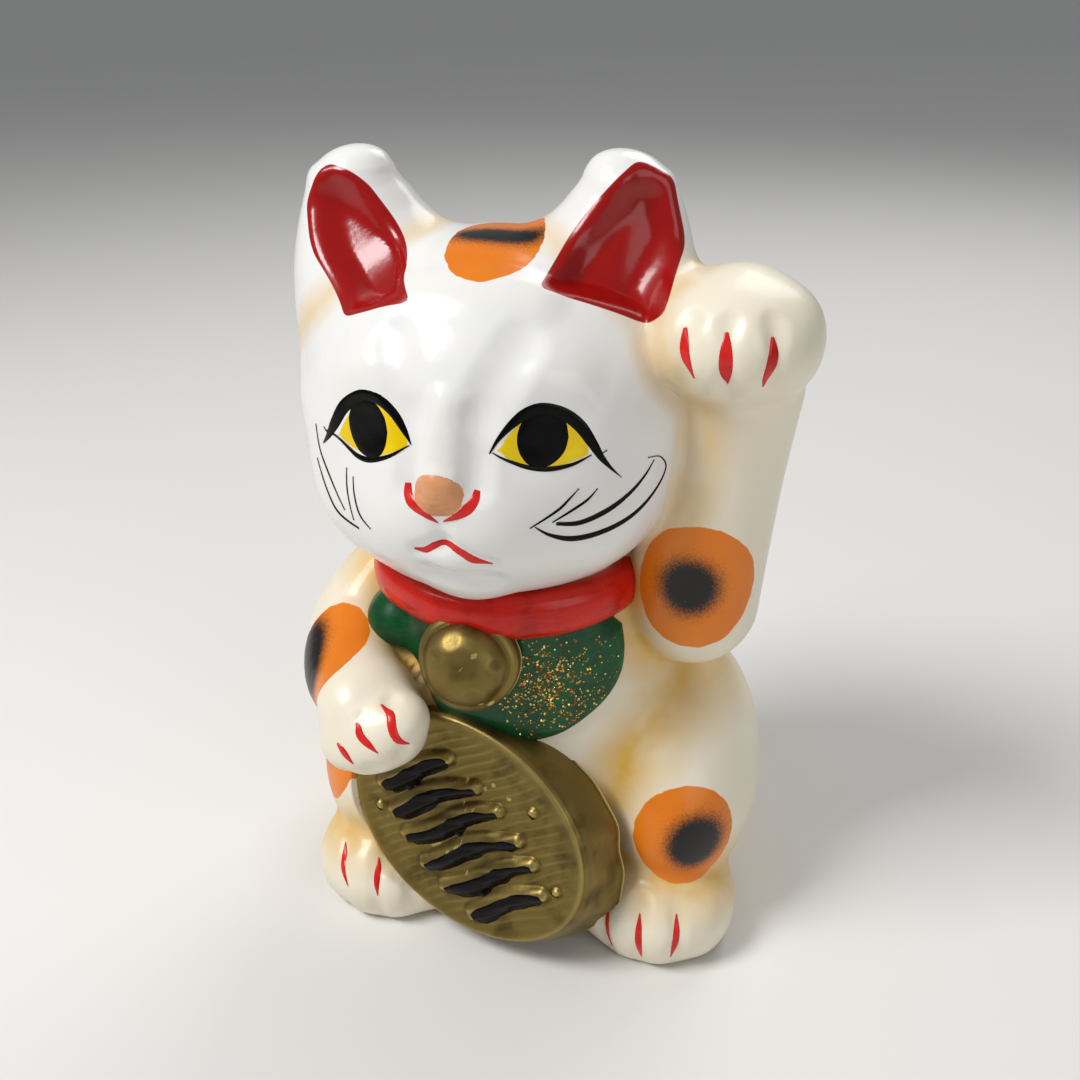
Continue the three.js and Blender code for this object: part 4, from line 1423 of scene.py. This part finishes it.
@dataclass(frozen=True)
class SprayedCeramic:
    """Slip-cast ceramic under white gloss paint, with colours sprayed and brushed on.

    The sprayed white is glassy on the face and slightly satin and grainy lower down. Ochre is airbrushed
    into the folds, orange patches have a crisp edge and a sooty, speckled core, and the foot and inside are
    bare.
    """

    face_white: str = "#e9e8e5"
    body_cream: str = "#e9e0ca"
    ochre: str = "#d9a936"
    orange: str = "#dc7008"
    orange_pale: str = "#e88414"
    soot: str = "#060403"
    red: str = "#980804"
    bare_clay: str = "#cbbb9c"
    scuff: str = "#8d857a"

    def make(self) -> bpy.types.Material:
        """Builds the material."""
        material, tree, shader, spot = fresh_material("sprayed_ceramic")
        add = partial(add_node, tree)
        read = {name: add("Attribute", {"attribute_name": name}, {}, "Fac")
                for name in ("orange", "soot", "scoop", "valley", "cream", "bare")}
        # soft clouds of about 12 mm for the spray's unevenness, and speckle of about 0.5 mm from the airbrush
        cloud = add("TexNoise", {}, {"Vector": spot, "Scale": 85.0, "Detail": 3.0})
        speckle = add("TexNoise", {}, {"Vector": spot, "Scale": 2100.0, "Detail": 2.0})
        wander = add("TexNoise", {}, {"Vector": spot, "Scale": 260.0, "Detail": 2.0})
        cream = add("Math", {"operation": "MULTIPLY_ADD", "use_clamp": True},
                    {0: cloud, 1: 0.5, 2: add("Math", {"operation": "SUBTRACT"},
                                                   {0: read["cream"], 1: 0.25})})
        colour = add("Mix", RGBA,
                     {0: cream, 6: linear(self.face_white), 7: linear(self.body_cream)}, 2)
        fold = add("MapRange", {},
                   {"Value": cloud, "From Min": 0.3, "From Max": 0.7, "To Min": 0.55, "To Max": 1.0})
        below = add("Math", SCALE_ADD, {0: read["cream"], 1: 0.4, 2: 0.6})
        fold = add("Math", TIMES, {0: fold, 1: below})
        fold = add("Math", {"operation": "MULTIPLY", "use_clamp": True},
                   {0: read["valley"], 1: fold})
        colour = add("Mix", RGBA, {0: fold, 6: colour, 7: linear(self.ochre)}, 2)
        # brushed orange: the edge wanders by a few tenths of a millimetre
        edge = add("Math", SCALE_ADD,
                   {0: wander, 1: 1.2, 2: add("Math", {"operation": "SUBTRACT"},
                                                   {0: read["orange"], 1: 0.6})})
        patch = add("MapRange", SMOOTH,
                    {"Value": edge, "From Min": -0.12, "From Max": 0.12})
        tone = add("Mix", RGBA,
                   {0: cloud, 6: linear(self.orange_pale), 7: linear(self.orange)}, 2)
        colour = add("Mix", RGBA, {0: patch, 6: colour, 7: tone}, 2)
        # the core fades out in fine speckle
        dust = add("Math", SCALE_ADD, {0: speckle, 1: 0.5, 2: -0.25})
        core = add("Math", {"operation": "ADD"}, {0: read["soot"], 1: dust})
        core = add("MapRange", SMOOTH,
                   {"Value": core, "From Min": 0.02, "From Max": 0.62})
        core = add("Math", TIMES, {0: core, 1: patch})
        colour = add("Mix", RGBA, {0: core, 6: colour, 7: linear(self.soot)}, 2)
        ear = add("MapRange", SMOOTH,
                  {"Value": read["scoop"], "From Min": -0.1, "From Max": 0.1})
        colour = add("Mix", RGBA, {0: ear, 6: colour, 7: linear(self.red)}, 2)
        # scattered scuffs and pinholes of about 0.5 mm, a few to each square centimetre
        cells = add("TexVoronoi", {}, {"Vector": spot, "Scale": 190.0}, "Distance")
        pits = add("MapRange", {}, {"Value": cells, "From Min": 0.035, "From Max": 0.02})
        few = add("MapRange", SMOOTH,
                  {"Value": wander, "From Min": 0.6, "From Max": 0.68})
        scuffs = add("Math", TIMES, {0: pits, 1: few})
        colour = add("Mix", RGBA, {0: scuffs, 6: colour, 7: linear(self.scuff)}, 2)
        colour = add("Mix", RGBA,
                     {0: read["bare"], 6: colour, 7: linear(self.bare_clay)}, 2)
        tree.links.new(colour, shader.inputs["Base Color"])
        satin = add("MapRange", {},
                    {"Value": read["cream"], "To Min": 0.17, "To Max": 0.33})
        worn = add("Math", SCALE_ADD, {0: cloud, 1: 0.12, 2: satin})
        rough = add("Math", {"operation": "MULTIPLY_ADD", "use_clamp": True},
                    {0: read["bare"], 1: 0.5, 2: worn})
        tree.links.new(rough, shader.inputs["Roughness"])
        shader.inputs["Specular IOR Level"].default_value = 0.36
        shader.inputs["Coat Weight"].default_value = 0.16
        shader.inputs["Coat Roughness"].default_value = 0.08
        shader.inputs["IOR"].default_value = 1.5
        # the casting's own unevenness over about 10 mm, then orange peel of about 1.5 mm and fine grain
        swell = add("Bump", {}, {"Height": cloud, "Strength": 0.5, "Distance": 0.0005})
        peel = add("TexNoise", {}, {"Vector": spot, "Scale": 620.0, "Detail": 2.0})
        peeled = add("Bump", {}, {"Height": peel, "Strength": 0.35, "Distance": 0.00006,
                     "Normal": swell})
        grain = add("Math", TIMES, {0: speckle, 1: read["cream"]})
        grained = add("Bump", {}, {"Height": grain, "Strength": 0.3, "Distance": 0.00005,
                      "Normal": peeled})
        tree.links.new(grained, shader.inputs["Normal"])
        return material


@dataclass(frozen=True)
class Enamel:
    """Oil-based gloss enamel laid on with a brush: full colour, a wet gloss and faint streaks."""

    name: str
    thick: str
    thin: str
    gloss: float = 0.16
    streak: float = 0.35
    shine: float = 0.3

    def make(self) -> bpy.types.Material:
        """Builds the material."""
        material, tree, shader, spot = fresh_material(self.name)
        add = partial(add_node, tree)
        # bristle streaks about 0.6 mm apart, drawn out level round the figure
        drawn = add("Mapping", {}, {"Vector": spot, "Scale": (260.0, 260.0, 1300.0)})
        streaks = add("TexNoise", {}, {"Vector": drawn, "Scale": 1.0, "Detail": 3.0})
        pool = add("TexNoise", {}, {"Vector": spot, "Scale": 160.0, "Detail": 2.0})
        both = add("Math", SCALE_ADD, {0: streaks, 1: self.streak, 2: pool})
        cover = add("MapRange", SMOOTH,
                    {"Value": both, "From Min": 0.45, "From Max": 0.9})
        colour = add("Mix", RGBA,
                     {0: cover, 6: linear(self.thick), 7: linear(self.thin)}, 2)
        tree.links.new(colour, shader.inputs["Base Color"])
        rough = add("Math", SCALE_ADD, {0: pool, 1: 0.2, 2: self.gloss})
        tree.links.new(rough, shader.inputs["Roughness"])
        shader.inputs["Specular IOR Level"].default_value = self.shine
        shader.inputs["Coat Weight"].default_value = 0.3 * self.shine
        shader.inputs["Coat Roughness"].default_value = 0.06
        low = add("Bump", {}, {"Height": pool, "Strength": 0.4, "Distance": 0.0003})
        fine = add("Bump", {}, {"Height": streaks, "Strength": 0.35, "Distance": 0.00006,
                   "Normal": low})
        tree.links.new(fine, shader.inputs["Normal"])
        return material


@dataclass(frozen=True)
class AntiqueGold:
    """Bronze-powder paint gone dull: olive gold, dark patina in the hollows, and bright high spots of rubbed wear
    and painted highlight.
    """

    gold: str = "#7f6c38"
    bright: str = "#c2aa68"
    patina: str = "#443818"

    def make(self) -> bpy.types.Material:
        """Builds the material."""
        material, tree, shader, spot = fresh_material("antique_gold_paint")
        add = partial(add_node, tree)
        cloud = add("TexNoise", {}, {"Vector": spot, "Scale": 120.0, "Detail": 5.0})
        powder = add("TexNoise", {}, {"Vector": spot, "Scale": 2600.0, "Detail": 2.0})
        # convex high spots take the bright colour: partly rubbed wear, partly a painted highlight
        high = add("NewGeometry", {}, {}, "Pointiness")
        rubbed_and_highlit = add("MapRange", SMOOTH,
                     {"Value": high, "From Min": 0.5, "From Max": 0.56})
        sunk = add("MapRange", SMOOTH,
                   {"Value": high, "From Min": 0.5, "From Max": 0.44})
        murk = add("MapRange", SMOOTH,
                   {"Value": cloud, "From Min": 0.45, "From Max": 0.75})
        dark = add("Math", {"operation": "MAXIMUM"}, {0: sunk, 1: murk})
        dark = add("Math", TIMES, {0: dark, 1: 0.75})
        colour = add("Mix", RGBA,
                     {0: dark, 6: linear(self.gold), 7: linear(self.patina)}, 2)
        colour = add("Mix", RGBA,
                     {0: rubbed_and_highlit, 6: colour, 7: linear(self.bright)}, 2)
        tree.links.new(colour, shader.inputs["Base Color"])
        shader.inputs["Metallic"].default_value = 0.85
        rough = add("MapRange", {}, {"Value": powder, "To Min": 0.3, "To Max": 0.6})
        tree.links.new(rough, shader.inputs["Roughness"])
        broad = add("Bump", {}, {"Height": cloud, "Strength": 0.5, "Distance": 0.0004})
        fine = add("Bump", {}, {"Height": powder, "Strength": 0.35, "Distance": 0.00005,
                   "Normal": broad})
        tree.links.new(fine, shader.inputs["Normal"])
        return material


@dataclass(frozen=True)
class GlitterFoil:
    """Cut metallised film: tiny mirror flecks, gold with some copper among them."""

    gold: str = "#e8c46a"
    copper: str = "#b5652e"

    def make(self) -> bpy.types.Material:
        """Builds the material."""
        material, tree, shader, spot = fresh_material("glitter_foil")
        add = partial(add_node, tree)
        pick = add("TexNoise", {}, {"Vector": spot, "Scale": 900.0, "Detail": 0.0})
        split = add("MapRange", {}, {"Value": pick, "From Min": 0.45, "From Max": 0.6})
        colour = add("Mix", RGBA,
                     {0: split, 6: linear(self.gold), 7: linear(self.copper)}, 2)
        tree.links.new(colour, shader.inputs["Base Color"])
        shader.inputs["Metallic"].default_value = 1.0
        rough = add("MapRange", {}, {"Value": pick, "To Min": 0.12, "To Max": 0.35})
        tree.links.new(rough, shader.inputs["Roughness"])
        return material


@dataclass(frozen=True)
class BungRubber:
    """Moulded black rubber: matt, with a fine bloom and a slightly rough skin."""

    base: str = "#2b2a29"
    bloom: str = "#4a4845"

    def make(self) -> bpy.types.Material:
        """Builds the material."""
        material, tree, shader, spot = fresh_material("moulded_rubber")
        add = partial(add_node, tree)
        bloom = add("TexNoise", {}, {"Vector": spot, "Scale": 140.0, "Detail": 5.0})
        skin = add("TexNoise", {}, {"Vector": spot, "Scale": 1800.0, "Detail": 2.0})
        colour = add("Mix", RGBA,
                     {0: bloom, 6: linear(self.base), 7: linear(self.bloom)}, 2)
        tree.links.new(colour, shader.inputs["Base Color"])
        rough = add("MapRange", {}, {"Value": bloom, "To Min": 0.62, "To Max": 0.85})
        tree.links.new(rough, shader.inputs["Roughness"])
        bumped = add("Bump", {}, {"Height": skin, "Strength": 0.4, "Distance": 0.0001})
        tree.links.new(bumped, shader.inputs["Normal"])
        return material


PAINTS = {
    "ink": Enamel("black_enamel", "#060505", "#0e0c0b", 0.12, 0.2, 0.1),
    "red": Enamel("red_enamel", "#bc1414", "#d42420", 0.14, 0.5),
    "collar": Enamel("collar_red_enamel", "#b01008", "#cf1e0e", 0.14, 0.6),
    "yellow": Enamel("yellow_enamel", "#e8c400", "#f0d016", 0.14, 0.3, 0.3),
    "peach": Enamel("peach_enamel", "#c98556", "#d9996a", 0.2, 0.6),
    "green": Enamel("green_enamel", "#083a1c", "#0f5229", 0.16, 0.5),
}


# ---- the studio -----------------------------------------------------------------------------------

@dataclass
class Studio:
    """A pale floor, soft lights and the camera."""

    eye: Point = (69.0, -272.8, 243.7)
    azimuth: float = 14.0
    pitch: float = 27.0
    roll: float = -1.0
    lens: float = 37.667
    floor: str = "#e6e4e0"

    def build(self) -> None:
        """Sets the floor, the world, the lights and the camera."""
        bpy.context.scene.view_settings.view_transform = "Standard"
        self.lay_floor()
        self.hang_lights()
        self.place_camera()

    def lay_floor(self) -> None:
        """Lays a plain pale floor."""
        work = bmesh.new()
        bmesh.ops.create_grid(work, x_segments=1, y_segments=1, size=14.0)
        ground = new_object("studio_floor", mesh_from(work, "studio_floor"))
        material, tree, shader, spot = fresh_material("studio_floor")
        add = partial(add_node, tree)
        tone = add("TexNoise", {}, {"Vector": spot, "Scale": 3.0, "Detail": 2.0})
        colour = add("Mix", RGBA,
                     {0: tone, 6: linear(self.floor), 7: linear("#e2e0dc")}, 2)
        tree.links.new(colour, shader.inputs["Base Color"])
        shader.inputs["Roughness"].default_value = 0.7
        ground.data.materials.append(material)

    def hang_lights(self) -> None:
        """Hangs three soft area lights and a pale surround."""
        world = bpy.data.worlds.new("studio_air")
        world.use_nodes = True
        back = world.node_tree.nodes["Background"]
        back.inputs["Color"].default_value = linear("#eef1f5")
        back.inputs["Strength"].default_value = 0.27
        bpy.context.scene.world = world
        for name, spot, size, power in (("key", (-0.6, -0.45, 1.0), 0.42, 11.5),
                                        ("fill", (0.85, -0.7, 0.5), 0.7, 2.4),
                                        ("back", (0.25, 0.75, 0.9), 0.6, 4.0)):
            light = bpy.data.lights.new(name, "AREA")
            light.energy, light.size = power, size
            lamp = bpy.data.objects.new(name, light)
            lamp.location = spot
            lamp.rotation_euler = (Vector((0, 0, 0.1)) - Vector(spot)).to_track_quat("-Z", "Y").to_euler()
            bpy.context.scene.collection.objects.link(lamp)

    def place_camera(self) -> None:
        """Stands the camera at its eye point and turns it to its view."""
        data = bpy.data.cameras.new("camera")
        data.sensor_width, data.lens, data.clip_start = 36.0, self.lens, 0.01
        camera = bpy.data.objects.new("camera", data)
        look = (Matrix.Rotation(math.radians(self.azimuth), 3, "Z")
                @ Matrix.Rotation(math.radians(90 - self.pitch), 3, "X")
                @ Matrix.Rotation(math.radians(self.roll), 3, "Z"))
        camera.matrix_world = Matrix.Translation(BENCH.place(self.eye)) @ look.to_4x4()
        bpy.context.scene.collection.objects.link(camera)
        bpy.context.scene.camera = camera


def main() -> None:
    """Builds the cat's looks in order."""
    logging.basicConfig(level=logging.INFO, format="%(relativeCreated)d %(name)s %(message)s")
    form = CatForm()
    skin = Skin(form)
    skin.build()
    Figure(form=form).build(skin, SprayedCeramic().make())
    paint = {name: enamel.make() for name, enamel in PAINTS.items()}
    gold = AntiqueGold().make()
    Face(form).build(paint["yellow"], paint["ink"], paint["red"], paint["peach"])
    Claws(form).build(paint["red"])
    Collar().build(paint["collar"])
    Bib(form).build(paint["green"], GlitterFoil().make())
    Bell().build(gold)
    Koban().build(gold, paint["ink"])
    Bung().build(BungRubber().make())
    Studio().build()


if __name__ == "__main__":
    main()
